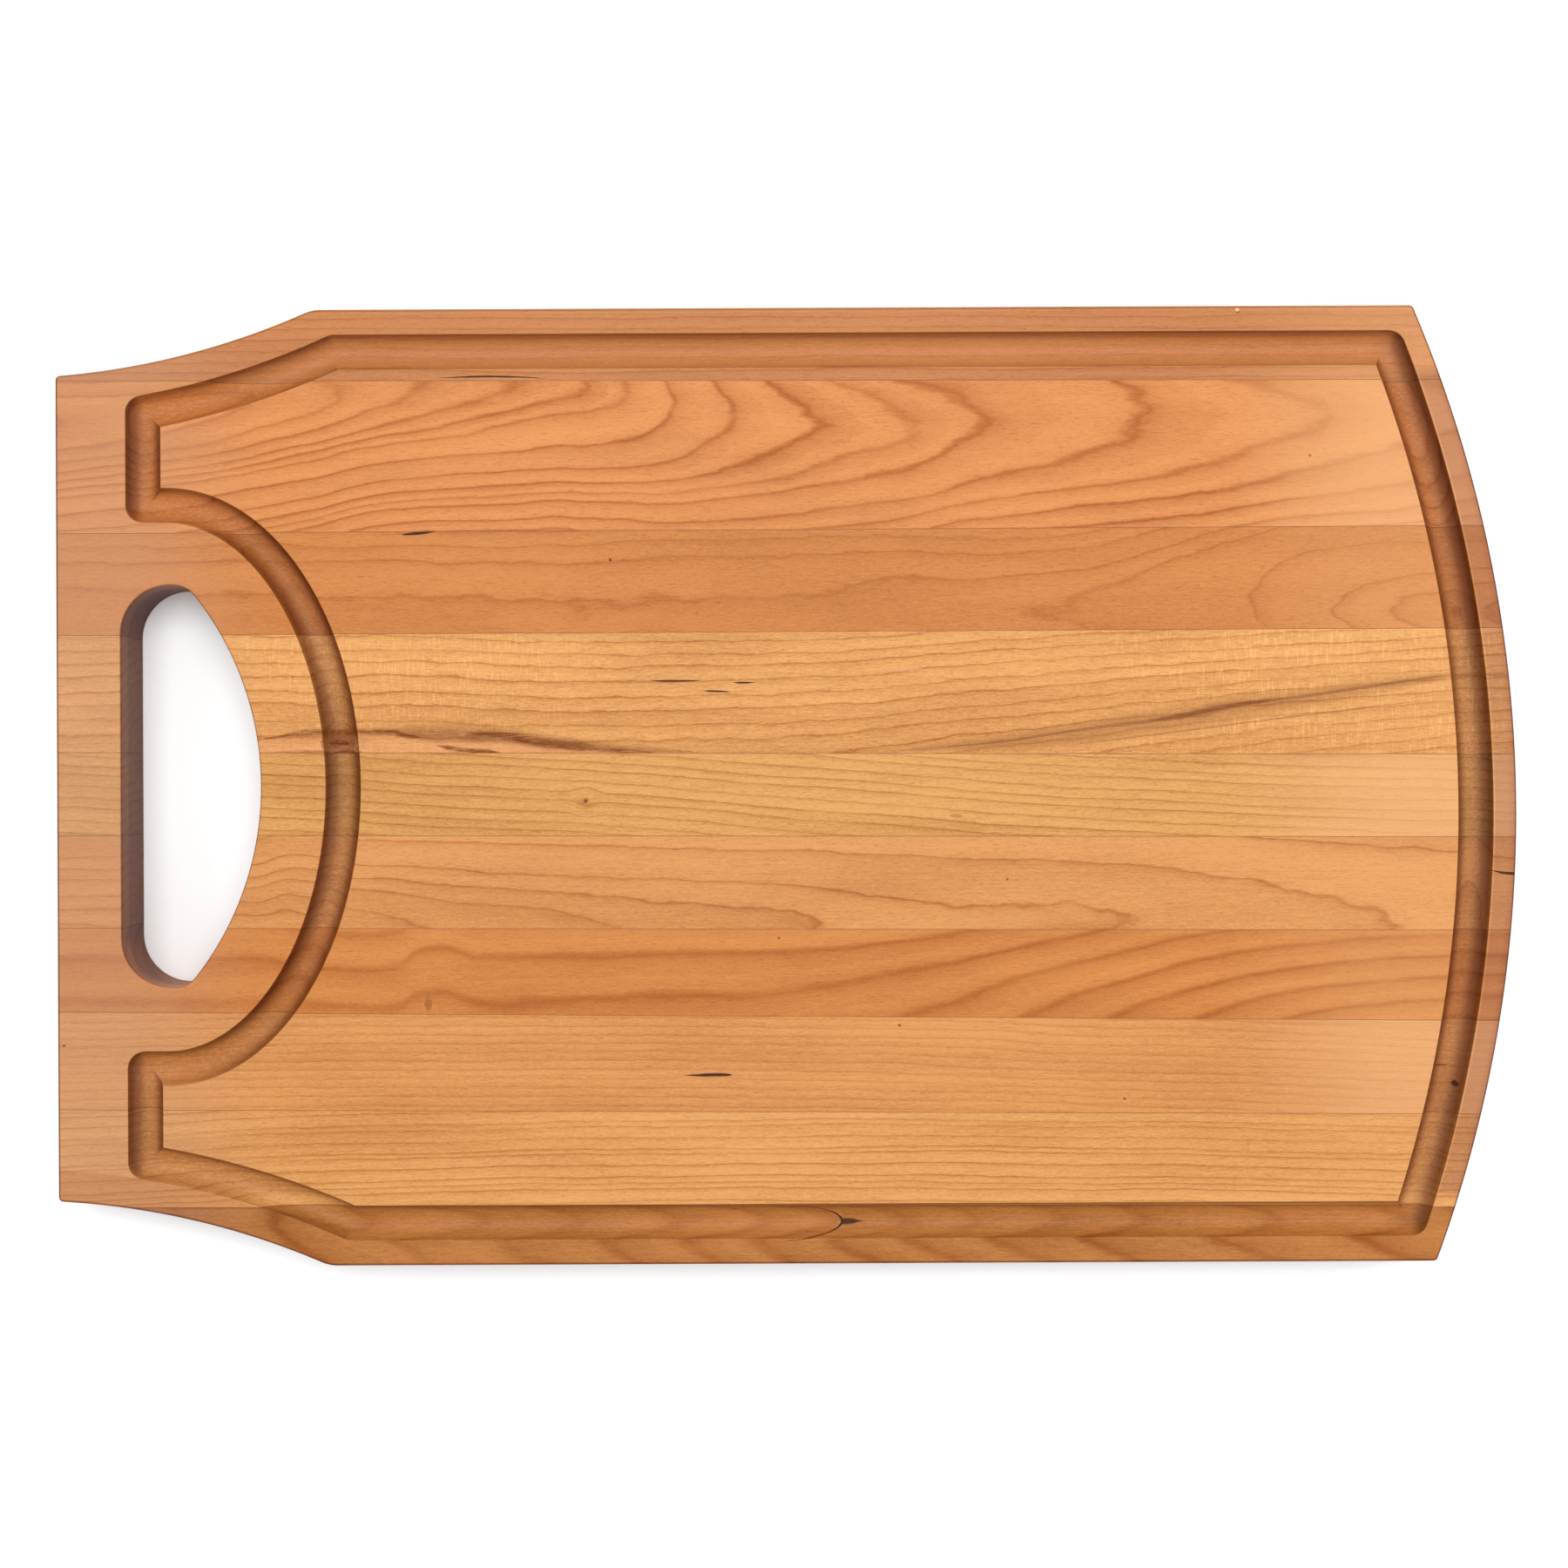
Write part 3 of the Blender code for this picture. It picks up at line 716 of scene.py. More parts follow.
# One entry for each stave, from the +Y edge down, in millimetres:
#   pith       sideways place of the tree's pith line at some places along the board
#   depth      how far that line lies below the top face there, negative when it is above
#   rings      radii of the growth rings, outwards
#   contrast   strength of the ring lines
#   softness   how wide and soft the ring lines are; negative when they fade outwards, not inwards
#   ripple     how far short waves push the ring lines
#   knots      (along, across, size, how far the rings bulge round it)
#   curl       strength of the cross figure at some places along the board
#   paler_end  how far the colour goes pale towards the curved end
#   light, dark  colours of the palest and deepest wood, sRGB
#   marks      (colour, strength, path), the path as (along, across, half width) points
STAVES = [
    dict(
        pith=[(-216, 60), (216, 60)],
        depth=[(-216, 30), (216, 30)],
        rings=evenly(50, 115, 24),
        contrast=0.35,
        paler_end=0.3,
        light=(185, 120, 70),
        dark=(170, 105, 58),
        marks=[
            # A small dent painted as a pale highlight, with its painted shadow just below in the gum colour
            (DENT_HIGHLIGHT, 0.8, [(133.2, 140.2, 0.0), (133.8, 140.2, 0.45), (134.4, 140.2, 0.0)]),
            (GUM, 0.5, [(133.2, 139.4, 0.0), (133.9, 139.4, 0.25), (134.8, 139.5, 0.0)]),
            (GUM, 0.95, [(-103, 121.0, 0.0), (-97, 121.2, 0.16), (-88, 121.35, 0.28), (-80, 121.2, 0.2),
                         (-69, 120.5, 0.0)]),
        ],
    ),
    dict(
        softness=-1.7,
        pith=[(-216, 108), (-180, 111), (-140, 116), (-100, 120.5), (-75, 120.5), (-60, 119), (-48, 117.5),
              (-34, 113.5), (-15, 110), (9, 107.5), (33, 106.7), (57, 109.3), (110, 108.5), (157, 110),
              (216, 109)],
        depth=[(-216, 9), (-180, 10.5), (-150, 13), (-130, 15), (-100, 17.6), (-75, 20.2), (-48, 24),
               (-34, 28.5), (-15, 33.5), (9, 37), (33, 39.5), (57, 41.5), (80, 43.3), (110, 45.6),
               (157, 48.6), (216, 52)],
        rings=[3, 6, 9, 12, 15, 17.5, 20, 22, 24, 28.5, 33.5, 37, 39.5, 41.5, 45.6, 48.6, 51.5, 54.5, 57.5,
               60, 63, 66],
        contrast=0.62,
        paler_end=0.6,
        light=(210, 136, 75),
        dark=(190, 120, 62),
        marks=[
            (GUM, 0.95, POCKET_ON_GLUE_LINE),
            (GUM, 0.6, [(154.6, 97, 0.0), (155.1, 97, 0.4), (155.6, 97, 0.0)]),
        ],
    ),
    dict(
        pith=[(-216, 49), (-120, 50), (-70, 49), (-40, 50.5), (20, 51.5), (75, 50), (137, 54.5), (162, 52.5),
              (216, 50)],
        depth=[(-216, 31), (-80, 31.8), (0, 31.7), (75, 30), (110, 27.9), (130, 25), (150, 19.3), (165, 14.6),
               (178, 12.3), (216, 8)],
        rings=[6, 9, 12.3, 15.2, 23, 30, 32.6, 35.9, 38.3, 41, 44, 47],
        ripple=1.5,
        contrast=0.46,
        paler_end=0.2,
        light=(195, 124, 62),
        dark=(175, 105, 46),
        marks=[
            (GUM, 0.95, POCKET_ON_GLUE_LINE),
            (GUM, 0.75, [(-52.4, 67, 0.0), (-51.9, 67, 0.5), (-51.4, 67, 0.0)]),
        ],
    ),
    dict(
        pith=[(-216, -5), (-130, -3), (-100, -4), (-50, -6), (0, -6), (60, -4), (120, -3), (216, 0)],
        depth=[(-216, 24), (-130, 26), (-60, 25), (0, 24), (60, 20), (120, 14), (216, 2)],
        rings=[12, 15, 18.5, 21.5, 25, 28, 31.5, 34.5, 38, 41, 44.5, 48, 51, 54.5, 58, 61, 64.5],
        contrast=0.62,
        ripple=2.1,
        paler_end=0.1,
        light=(215, 155, 90),
        dark=(186, 125, 64),
        curl=[(-170, 0.2), (-125, 0.8), (-75, 0.7), (-45, 0.1), (60, 0.15), (110, 0.6), (150, 1.0),
              (216, 0.8)],
        marks=[
            (RED_STAIN, 0.38, [(-165, 12.5, 0.0), (-150, 12.0, 2.0), (-125, 12.0, 2.4), (-95, 11.5, 2.2),
                               (-70, 10.5, 1.2), (-50, 9.8, 0.0)]),
            (MINERAL, 0.5, [(-120, 16.5, 0.0), (-105, 16.3, 1.6), (-85, 15.0, 1.8), (-65, 12.8, 1.4),
                            (-40, 10.5, 0.9), (-25, 10.0, 0.0)]),
            (MINERAL, 0.85, [(-162, 13.5, 0.0), (-150, 15.0, 0.35), (-140, 16.2, 0.9), (-120, 16.4, 0.9),
                             (-112, 15.2, 0.4), (-107, 14.6, 0.0)]),
            (MINERAL, 0.8, [(-98, 16.2, 0.0), (-84, 15.2, 0.9), (-76, 13.4, 1.1), (-68, 12.0, 0.9),
                            (-58, 11.2, 0.8), (-48, 10.5, 0.7), (-38, 9.8, 0.0)]),
            (MINERAL, 0.5, [(-116, 15.4, 0.0), (-104, 15.0, 1.3), (-92, 15.2, 1.5), (-70, 13.6, 1.2),
                            (-55, 11.8, 0.0)]),
            (MINERAL, 0.9, [(-104, 12.2, 0.0), (-97, 11.2, 0.6), (-90, 10.5, 0.6), (-84, 10.2, 0.0)]),
            (MINERAL, 0.6, [(-158, 9.8, 0.0), (-148, 10.4, 0.3), (-140, 10.6, 0.3), (-128, 10.4, 0.3),
                            (-120, 10.0, 0.0)]),
            (MINERAL, 0.7, [(-137.8, 13.3, 0.0), (-136, 13.3, 2.4), (-130, 13.3, 2.4), (-128, 13.3, 0.0)]),
            (MINERAL, 0.95, [(-136, 13.2, 0.0), (-133, 13.2, 1.0), (-130, 13.2, 0.0)]),
            (MINERAL, 0.9, [(-135, 10.4, 0.0), (-131, 10.5, 0.7), (-127.6, 10.4, 0.0)]),
            (MINERAL, 0.46, [(30, 10.0, 0.0), (70, 13.2, 2.0), (100, 17.2, 2.8), (125, 21.2, 2.8),
                             (160, 26.4, 2.2), (198, 32.0, 0.6)]),
            (DARK_RING, 0.45, [(40, 10.8, 0.0), (60, 12.4, 0.3), (90, 16.6, 0.45), (114, 19.6, 0.6),
                               (122, 21.3, 0.7), (131, 23.1, 0.6), (153, 25.8, 0.45), (176, 29.1, 0.45),
                               (195, 31.9, 0.0)]),
            (MINERAL, 0.6, [(106, 18.5, 0.0), (114, 19.6, 0.7), (124, 21.6, 1.1), (132, 23.3, 0.8),
                            (150, 25.4, 0.0)]),
            (DARK_RING, 0.35, [(82, 11.4, 0.0), (110, 14.8, 0.25), (150, 19.8, 0.25), (196, 25.2, 0.0)]),
            (GUM, 0.95, [(-41, 31.3, 0.0), (-33, 31.1, 0.28), (-24, 31.2, 0.0)]),
            (GUM, 0.95, [(-16, 30.6, 0.0), (-13, 30.5, 0.25), (-9, 30.5, 0.0)]),
            (GUM, 0.95, [(-25, 28.2, 0.0), (-21, 28.0, 0.28), (-16, 27.9, 0.0)]),
            (RED_STAIN, 0.8, [(29, 34.0, 0.0), (35, 34.0, 0.3), (43, 34.1, 0.0)]),
        ],
    ),
    dict(
        pith=[(-216, -62), (-130, -67), (-60, -71), (0, -76), (100, -83), (216, -88)],
        depth=[(-216, 20), (216, 20)],
        rings=[48, 51, 53.5, 57, 60.5, 63, 66, 69.5, 72, 75, 78.5, 81, 84, 87.5, 90, 93, 96.5, 99, 102, 105],
        contrast=0.62,
        paler_end=0.6,
        light=(208, 152, 86),
        dark=(180, 124, 60),
        knots=[(-59.4, -4.2, 0.85, 7.0)],
        marks=[
            (MINERAL, 0.4, [(48, -9, 0.0), (50, -9, 0.6), (52, -9, 0.0)]),
        ],
    ),
    dict(
        pith=[(-216, -44), (-197, -44), (-160, -45.5), (-145, -42), (-125, -44), (-60, -43), (0, -42.5),
              (216, -42)],
        depth=[(-216, 8), (-160, 9.5), (-130, 12.2), (-80, 17.3), (-40, 19.5), (0, 21.2), (50, 24.1),
               (93, 25), (130, 27.6), (177, 31.6), (216, 34)],
        rings=[3, 6, 9, 12, 14.9, 18.7, 21.5, 25, 31.6, 39, 44, 50],
        ripple=1.5,
        contrast=0.58,
        paler_end=0.1,
        light=(205, 142, 82),
        dark=(184, 120, 62),
        marks=[
            (GUM, 0.95, [(208.2, -26.0, 0.0), (209.5, -26.2, 0.2), (211.3, -26.6, 0.33), (213.3, -26.8, 0.42),
                         (215.0, -26.9, 0.45), (215.2, -26.9, 0.0)]),
            (GUM, 0.6, [(64.6, -28, 0.0), (65.1, -28, 0.4), (65.6, -28, 0.0)]),
        ],
    ),
    dict(
        pith=[(-216, -84), (-160, -84), (-125, -87), (-113, -85.5), (-103, -81.5), (-90, -84.5), (-50, -84),
              (0, -86), (216, -88)],
        depth=[(-216, 52), (-60, 52), (0, 50), (40, 46), (80, 38), (120, 27), (150, 19), (180, 13), (216, 8)],
        rings=[8, 14, 20, 26, 32, 38, 44, 50, 56, 62, 68],
        softness=4.0,
        contrast=0.52,
        paler_end=0.2,
        light=(198, 128, 64),
        dark=(182, 110, 50),
        marks=[
            (MINERAL, 0.5, [(-107.5, -64, 0.0), (-106.3, -64, 2.2), (-105, -64, 0.0)]),
            (GUM, 0.6, [(-3.0, -45, 0.0), (-2.5, -45, 0.4), (-2.0, -45, 0.0)]),
        ],
    ),
    dict(
        pith=[(-216, 30), (-100, 31), (0, 30), (100, 27), (216, 22)],
        depth=[(-216, 20), (216, 20)],
        rings=evenly(88, 142, 22),
        contrast=0.32,
        paler_end=0.6,
        light=(206, 142, 82),
        dark=(184, 120, 62),
        marks=[
            (GUM, 0.95, [(-31, -85.5, 0.0), (-27, -85.5, 0.3), (-23, -85.4, 0.5), (-19, -85.4, 0.45),
                         (-16.2, -85.5, 0.0)]),
            (GUM, 0.7, [(32.5, -71, 0.0), (33, -71, 0.4), (33.5, -71, 0.0)]),
            (GUM, 0.7, [(99, -93, 0.0), (99.5, -93, 0.4), (100, -93, 0.0)]),
            (GUM, 0.9, [(197.2, -89.2, 0.0), (198.2, -89.3, 0.9), (199.2, -89.6, 0.0)]),
            (DARK_RING, 0.8, [(191.5, -83.6, 0.0), (194, -83.9, 0.3), (196.5, -83.9, 0.0)]),
            (GUM, 0.6, [(-214.6, -76, 0.0), (-214, -76, 0.4), (-213.4, -76, 0.0)]),
        ],
    ),
    dict(
        pith=[(-216, -204), (-100, -200), (0, -199), (100, -200), (216, -203)],
        depth=[(-216, 20), (216, 20)],
        rings=[70, 72.4, 74, 77.2, 79, 82.5, 84.2, 86, 89.5, 92.8, 94.2, 97.5, 100.8, 102.3, 105.5, 108.5,
               110, 113.5],
        contrast=0.62,
        paler_end=0.1,
        light=(212, 152, 90),
        dark=(188, 126, 66),
    ),
    dict(
        pith=[(-216, -123), (216, -123)],
        depth=[(-216, -90), (216, -25)],
        rings=[22, 28, 34.6, 40.1, 45.6, 49.4, 53.1, 56.4, 59.8, 62.8, 66.5, 70.9, 75.5, 80, 85, 90, 95],
        softness=3.2,
        contrast=0.60,
        paler_end=0.0,
        light=(180, 116, 58),
        dark=(154, 96, 42),
        marks=[
            (DARK_RING, 0.8, [(-4, -124.3, 0.0), (5, -125.0, 0.16), (8.7, -125.6, 0.18), (12.2, -126.6, 0.22),
                              (14.1, -127.4, 0.25), (15.4, -128.6, 0.0)]),
            (DARK_RING, 0.8, [(-3, -134.9, 0.0), (5, -134.0, 0.16), (9.9, -133.1, 0.2), (13.4, -132.1, 0.25),
                              (15.2, -131.0, 0.0)]),
            (GUM, 0.95, [(11.5, -126.3, 0.0), (14.1, -127.4, 0.22), (15.3, -128.5, 0.4), (15.9, -129.4, 0.8),
                         (16.1, -129.8, 0.0)]),
            (GUM, 0.95, [(12.5, -132.4, 0.0), (14.2, -131.7, 0.22), (15.3, -130.8, 0.4), (15.9, -130.0, 0.8),
                         (16.1, -129.8, 0.0)]),
            (GUM, 0.9, [(15.9, -129.8, 0.0), (16.3, -129.8, 0.9), (18.6, -129.7, 0.8), (20.5, -129.7, 0.35),
                        (22.4, -129.7, 0.0)]),
        ],
    ),
]


def worked_faces_and_painted_light(net, colour, x, y, below_top):
    """Routed faces drink more oil than the sanded top and go darker, end grain above all, and steep faces
    deeper than the groove go darker too. Painted shade darkens steep faces and the rim where they turn away
    from +Y, the side the overhead light comes from, and the top face beyond the groove's curved run; painted
    highlights speck the bottoms of the cross-grain groove runs.
    """
    facing = net.node("ShaderNodeSeparateXYZ")
    net.put(facing.inputs[0], net.node("ShaderNodeNewGeometry").outputs["Normal"])
    along, across, up = facing.outputs
    steep = net.spread(net.math("ABSOLUTE", up), 0.95, 0.25)
    # Painted shade: steep faces not turned towards +Y, where the overhead light comes from, are darkened,
    # over the routed wood's own darker colour
    colour = net.tinted(net.math("MULTIPLY", steep, net.spread(across, 0.35, -0.1)), colour, SLOPE_SHADE_TINT)
    end_grain = net.spread(net.math("ABSOLUTE", along), 0.06, 0.75)
    colour = net.tinted(end_grain, colour, END_GRAIN_TINT)
    # Painted shade: the rounded rim is darkened except where it faces +Y towards the overhead light, over the
    # edge's own darker colour
    rim = net.node("ShaderNodeAttribute", attribute_name="rim").outputs["Fac"]
    colour = net.tinted(net.math("MULTIPLY", rim, net.spread(across, 0.6, 0.1)), colour, RIM_SHADE_TINT)
    routed = net.math("MULTIPLY", net.spread(up, 0.05, 0.3), net.spread(below_top, *ROUTED_DEPTH))
    cross_cut = net.math("MULTIPLY", routed, net.spread(net.math("ABSOLUTE", y), *CROSS_CUT_SIDE))
    colour = net.tinted(cross_cut, colour, CROSS_CUT_TINT)
    # Steep faces deeper than the groove reaches, the handle opening's walls and the board's sides, go darker
    opening = net.math("MULTIPLY", net.spread(below_top, *OPENING_DEPTH), steep)
    colour = net.tinted(opening, colour, OPENING_TINT)

    # Painted shade on the margin between the groove's curved run and the board's end, where the light falls
    # off, darkest along the brink
    centre = Vector((GROOVE_CURVED_END_X - GROOVE_CURVED_END_RADIUS, CURVED_END_CENTRE_Y)) * MM
    from_centre = net.length(net.math("SUBTRACT", x, centre.x), net.math("SUBTRACT", y, centre.y))
    on_top = net.spread(below_top, *TOP_SKIN)
    margin_shade = net.math("MULTIPLY", net.spread(from_centre, *MARGIN_SHADE_START), on_top)
    margin_shade = net.math("MULTIPLY", margin_shade, net.spread(net.math("ABSOLUTE", y), *MARGIN_SHADE_SIDE))
    colour = net.tinted(margin_shade, colour, MARGIN_SHADE_TINT)
    brink_shade = net.math("MULTIPLY", net.spread(from_centre, *BRINK_SHADE_START), margin_shade)
    colour = net.tinted(brink_shade, colour, BRINK_SHADE_TINT)

    # The strip along the lower hollow curve, outside the groove
    _, _, _, centre = scoops()
    centre *= MM
    from_scoop = net.length(net.math("SUBTRACT", x, centre.x), net.math("SUBTRACT", y, centre.y))
    hollow = net.math("MULTIPLY", net.spread(from_scoop, *HOLLOW_START), on_top)
    hollow = net.math("MULTIPLY", hollow, net.spread(y, *HOLLOW_SIDE))
    hollow = net.math("MULTIPLY", hollow, net.spread(x, *HOLLOW_END))
    colour = net.tinted(hollow, colour, HOLLOW_TINT)

    # Painted highlights: pale specks on the up-facing bottoms of the cross-grain groove runs
    place = net.vector(net.math("MULTIPLY", x, 0.8), net.math("MULTIPLY", y, 1.4), below_top)
    painted_highlights = net.noise(place, 2.0, 0.6)
    painted_highlights = net.math("MULTIPLY", net.spread(painted_highlights, -0.05, 0.2), net.spread(up, 0.6, 0.95))
    return net.tinted(net.math("MULTIPLY", painted_highlights, cross_cut), colour, FIGURE_AND_HIGHLIGHT_TINT)


def cherry(number, stave):
    """Solid oiled cherry for one stave."""
    net = Net(f"cherry_{number:02d}_wood")
    x, y, z = net.place()
    below_top = net.math("SUBTRACT", z, THICKNESS * MM)
    seed = 37.0 * number

    def stretched(along, across, detail=2.0, roughness=0.5, shift=0.0):
        """Noise whose grain is along mm long and across mm wide."""
        place = net.vector(
            net.math("MULTIPLY_ADD", x, 1 / along, seed + shift),
            net.math("MULTIPLY_ADD", y, 1 / across, shift),
            net.math("MULTIPLY", z, 1 / across),
        )
        return net.noise(place, detail, roughness)

    # Growth rings
    aside = net.math("SUBTRACT", y, net.curve(x, stave["pith"]))
    deep = net.math("ADD", net.curve(x, stave["depth"]), below_top)
    wander = net.math("MULTIPLY", stretched(55, 16, 1.0), WANDER)
    ripple = net.math("MULTIPLY", stretched(11, 4, 3.0, 0.6, shift=11), stave.get("ripple", 1.1))
    radius = net.total(net.length(aside, deep), wander, ripple)
    knots = []
    for knot_x, knot_y, size, reach in stave.get("knots", []):
        away = net.length(net.math("SUBTRACT", x, knot_x), net.math("SUBTRACT", y, knot_y))
        swell = net.math("MULTIPLY", net.spread(away, reach, 0.0), net.math("SUBTRACT", y, knot_y))
        radius = net.math("SUBTRACT", radius, net.math("MULTIPLY", swell, KNOT_SWELL))
        knots.append((away, size))
    places = list(enumerate(stave["rings"]))
    ring = net.curve(radius, [(r, i) for i, r in places], "VECTOR")
    nearest = net.math("ROUND", ring)
    past_line = net.math("SUBTRACT", radius, net.curve(nearest, places, "VECTOR"))
    past_line = net.math("DIVIDE", past_line, stave.get("softness", 1.0))
    profile = net.ramp(net.spread(past_line, -LINE_REACH, LINE_REACH, smooth=False), LINE_PROFILE)
    boldness = net.spread(net.chance(nearest, seed), 0.0, 1.0, 0.6, 1.0, smooth=False)
    patchy = net.spread(stretched(40, 8, 2.0, shift=23), -0.3, 0.1, 0.5, 1.0)
    lines = net.math("MULTIPLY", net.math("MULTIPLY", profile, boldness), patchy)
    lines = net.math("MULTIPLY", lines, net.spread(below_top, -3.0, -0.3, 0.6, 1.0))
    band = net.math("SUBTRACT", net.chance(net.math("FLOOR", ring), seed + 5), 0.5)

    # Fibre and pores
    fibre = stretched(12, 0.8, 3.0, 0.65, shift=31)
    hair = stretched(3.6, 0.34, 2.0, 0.7, shift=41)
    fleck = stretched(1.3, 0.5, 2.0, 0.6, shift=47)
    pores = net.spread(stretched(2.6, 0.3, 1.0, shift=53), 0.12, 0.26)
    broad = stretched(90, 14, 2.0, shift=61)

    tone = net.total(
        0.55,
        net.math("MULTIPLY", broad, 1.5),
        net.math("MULTIPLY", fibre, 1.2),
        net.math("MULTIPLY", hair, 1.6),
        net.math("MULTIPLY", fleck, 1.5),
        net.math("MULTIPLY", band, 0.25),
    )
    tone = net.spread(tone, 0.0, 1.0, smooth=False)
    colour = net.mix(tone, linear(stave["dark"]), linear(stave["light"]))
    line_strength = net.math("MULTIPLY", lines, LINE_STRENGTH * stave["contrast"], clamp=True)
    colour = net.tinted(line_strength, colour, RING_TINT)
    colour = net.tinted(net.math("MULTIPLY", pores, 0.35), colour, PORE_TINT)
    if "curl" in stave:
        shimmer = net.spread(stretched(0.6, 5, 1.0, shift=71), 0.0, 0.2)
        shimmer = net.math("MULTIPLY", shimmer, net.spread(stretched(9, 6, 1.0, shift=73), -0.25, 0.08))
        shimmer = net.math("MULTIPLY", shimmer, net.curve(x, stave["curl"]))
        colour = net.tinted(shimmer, colour, FIGURE_AND_HIGHLIGHT_TINT)

    # Painted light: the handle end is greyed towards a dull pink, painted shade where the light falls off
    # with a pale sheen over it. Some staves go paler towards the curved end
    on_top = net.spread(below_top, -0.5, -0.1)
    handle_end_shade = net.math("MULTIPLY", net.spread(x, -150.0, -200.0), on_top)
    colour = net.mix(net.math("MULTIPLY", handle_end_shade, HANDLE_END_SHADE_AND_SHEEN_AMOUNT), colour, HANDLE_END_SHADE_AND_SHEEN)
    near_curve = net.math("MULTIPLY", net.spread(x, 120.0, 185.0), on_top)
    colour = net.mix(net.math("MULTIPLY", near_curve, stave["paler_end"]), colour, PALE)
    colour = worked_faces_and_painted_light(net, colour, x, y, below_top)

    # Gum, mineral streaks and small knots
    near_top = net.spread(below_top, *MARK_DEPTHS)
    jagged = stretched(6, 1.3, 3.0, 0.7, shift=83)
    speckle = net.spread(net.total(hair, fibre), -0.25, 0.12, 0.35, 1.0)
    gummy = net.math("MULTIPLY", lines, 0.6)
    for away, size in knots:
        away = net.math("MULTIPLY_ADD", jagged, size, away)
        halo = net.math("MULTIPLY", net.spread(away, size * 1.9, size * 0.6), near_top)
        colour = net.mix(net.math("MULTIPLY", halo, 0.6), colour, KNOT_HALO)
        heart = net.math("MULTIPLY", net.spread(away, size * 0.9, size * 0.3), near_top)
        colour = net.mix(net.math("MULTIPLY", heart, 0.95), colour, KNOT_HEART)
    for (tint, ragged), strength, path in stave.get("marks", []):
        middle = net.curve(x, [(px, py) for px, py, _ in path])
        width = net.math("MAXIMUM", net.curve(x, [(px, pw) for px, _, pw in path]), 0.01)
        aside = net.math("SUBTRACT", net.math("MULTIPLY_ADD", jagged, ragged, y), middle)
        off = net.math("DIVIDE", net.math("ABSOLUTE", aside), width)
        faded, full = (1.4, 0.6) if ragged < 1.0 else (2.0, 0.2)
        mask = net.math("MULTIPLY", net.spread(off, faded, full), near_top)
        if ragged > 1.0:
            mask = net.math("MULTIPLY", mask, speckle)
        mask = net.math("MULTIPLY", mask, strength)
        gummy = net.math("MAXIMUM", gummy, mask)
        colour = net.mix(mask, colour, tint)

    net.put(net.shader.inputs["Base Color"], colour)
    net.put(net.shader.inputs["Specular IOR Level"], net.spread(gummy, 0.0, 1.0, 0.22, 0.02, smooth=False))
    roughness = net.total(0.44, net.math("MULTIPLY", fibre, 0.25), net.math("MULTIPLY", pores, 0.12))
    net.put(net.shader.inputs["Roughness"], roughness)

    height = net.total(
        net.math("MULTIPLY", fibre, 0.6),
        net.math("MULTIPLY", hair, 0.3),
        net.math("MULTIPLY", pores, -0.6),
        net.math("MULTIPLY", fleck, 0.3),
    )
    bump = net.node("ShaderNodeBump")
    bump.inputs["Strength"].default_value = BUMP_STRENGTH
    bump.inputs["Distance"].default_value = BUMP_HEIGHT
    net.put(bump.inputs["Height"], height)
    net.put(net.shader.inputs["Normal"], bump.outputs[0])
    return net.material


def glue_material():
    """A dark, slightly uneven glue line."""
    net = Net("glue_film")
    x, y, z = net.place()
    below_top = net.math("SUBTRACT", z, THICKNESS * MM)
    uneven = net.noise(net.vector(net.math("DIVIDE", x, 9.0), y, z), 3.0, 0.6)
    tone = net.math("ADD", uneven, 0.5)
    colour = net.mix(tone, GLUE_DARK, GLUE_LIGHT)
    colour = worked_faces_and_painted_light(net, colour, x, y, below_top)
    net.put(net.shader.inputs["Base Color"], colour)
    net.put(net.shader.inputs["Roughness"], net.math("MULTIPLY_ADD", uneven, 0.2, 0.45))
    net.shader.inputs["Specular IOR Level"].default_value = 0.2
    return net.material


# ---------------------------------------------------------------- floor, lights and camera

CAMERA_HEIGHT = 0.560
FRAME_WIDTH = 0.4636  # what the frame takes in at the top face
CAMERA_X = -0.0008
CAMERA_Y = 0.0005
CAMERA_TURN = math.radians(-0.25)
FLOOR_SIZE = 6.0
FLOOR_DROP = 0.0002
FLOOR_GLOW = 0.045
ROOM_LIGHT = 0.50
OVERHEAD_WATTS = 19
LEFT_WATTS = 2.2
RIGHT_WATTS = 4.4
SIDE_LIGHT_X = 0.95
SIDE_LIGHT_HEIGHT = 0.5
BOARD_MIDDLE = (0.0, 0.0, 0.0)


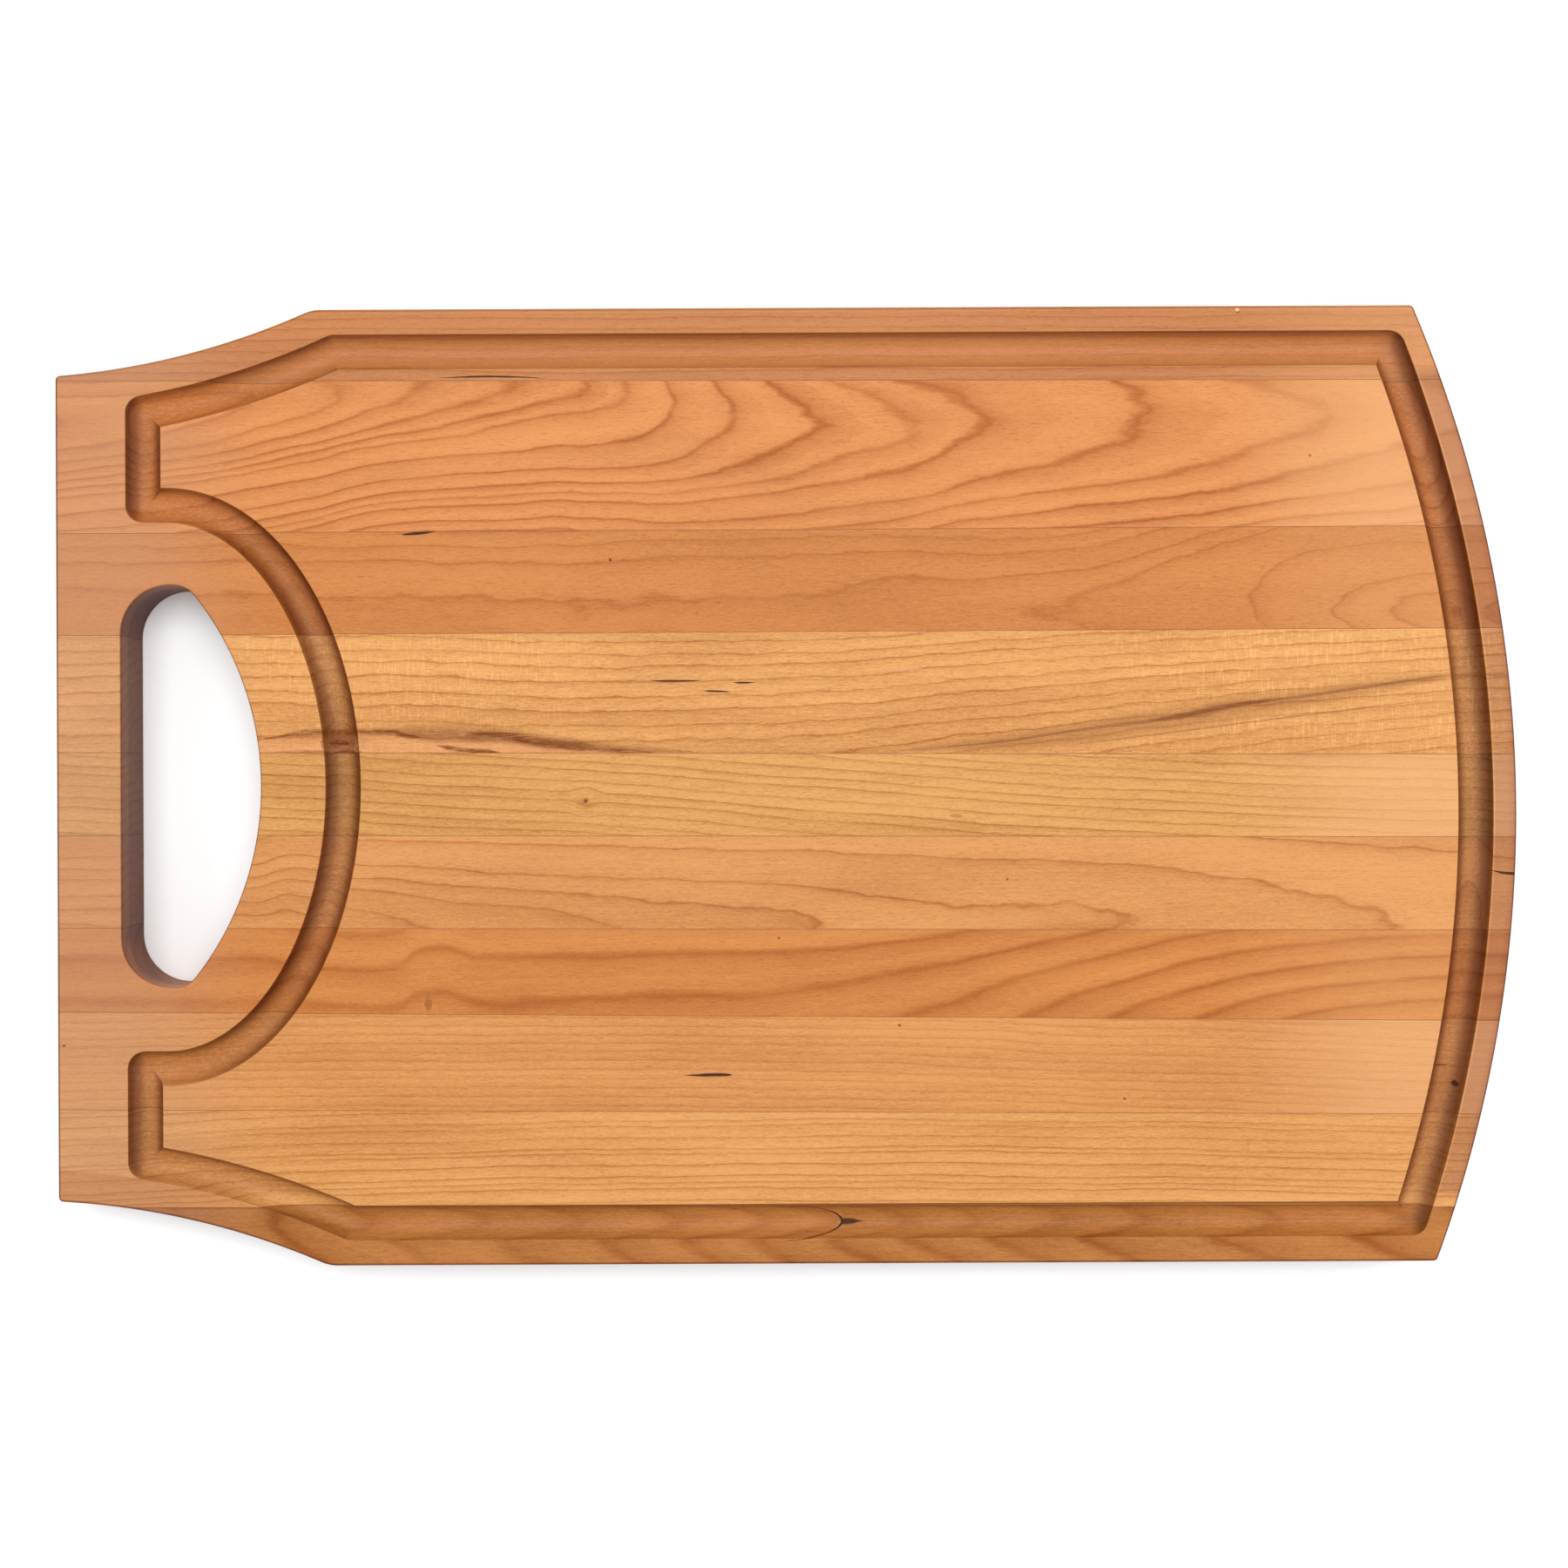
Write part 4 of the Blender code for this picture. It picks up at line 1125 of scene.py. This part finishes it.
def add_floor():
    """Bright paper just below the board, wide enough to fill any view."""
    mesh = bpy.data.meshes.new("floor")
    half = FLOOR_SIZE / 2
    corners = [(-half, -half), (half, -half), (half, half), (-half, half)]
    mesh.from_pydata([(x, y, CAD_LOW.z - FLOOR_DROP) for x, y in corners], [], [(0, 1, 2, 3)])
    floor = bpy.data.objects.new("floor", mesh)
    bpy.context.scene.collection.objects.link(floor)
    net = Net("floor_paper")
    net.shader.inputs["Base Color"].default_value = (0.99, 0.99, 0.99, 1.0)
    net.shader.inputs["Roughness"].default_value = 0.9
    net.shader.inputs["Specular IOR Level"].default_value = 0.1
    # The paper glows faintly, a painted lift of the shadows that fall on it
    net.shader.inputs["Emission Color"].default_value = (1.0, 1.0, 1.0, 1.0)
    net.shader.inputs["Emission Strength"].default_value = FLOOR_GLOW
    mesh.materials.append(net.material)


def add_light(name, place, target, width, height, power):
    """A soft rectangular light that faces the target."""
    data = bpy.data.lights.new(name, "AREA")
    data.shape = "RECTANGLE"
    data.size = width
    data.size_y = height
    data.energy = power
    light = bpy.data.objects.new(name, data)
    light.location = place
    light.rotation_euler = (Vector(target) - Vector(place)).to_track_quat("-Z", "Y").to_euler()
    bpy.context.scene.collection.objects.link(light)


def add_world():
    world = bpy.data.worlds.new("studio")
    world.use_nodes = True
    background = world.node_tree.nodes["Background"]
    background.inputs["Color"].default_value = (1.0, 1.0, 1.0, 1.0)
    background.inputs["Strength"].default_value = ROOM_LIGHT
    bpy.context.scene.world = world


def add_camera():
    data = bpy.data.cameras.new("camera")
    data.sensor_width = 36.0
    distance = CAMERA_HEIGHT - THICKNESS
    data.lens = data.sensor_width * distance / FRAME_WIDTH
    camera = bpy.data.objects.new("camera", data)
    camera.location = (CAMERA_X, CAMERA_Y, CAMERA_HEIGHT)
    camera.rotation_euler = (0.0, 0.0, CAMERA_TURN)
    bpy.context.scene.collection.objects.link(camera)
    bpy.context.scene.camera = camera


woods = [cherry(number, stave) for number, stave in enumerate(STAVES, start=1)]
slice_board(woods, glue_material())
add_floor()
add_world()
add_light("softbox_overhead", (0.0, 0.36, 1.5), BOARD_MIDDLE, 1.7, 1.1, OVERHEAD_WATTS)
add_light("softbox_left", (-SIDE_LIGHT_X, 0.0, SIDE_LIGHT_HEIGHT), BOARD_MIDDLE, 0.9, 0.4, LEFT_WATTS)
add_light("softbox_right", (SIDE_LIGHT_X, 0.0, SIDE_LIGHT_HEIGHT), BOARD_MIDDLE, 0.9, 0.4, RIGHT_WATTS)
add_camera()
bpy.context.scene.view_settings.view_transform = "Standard"
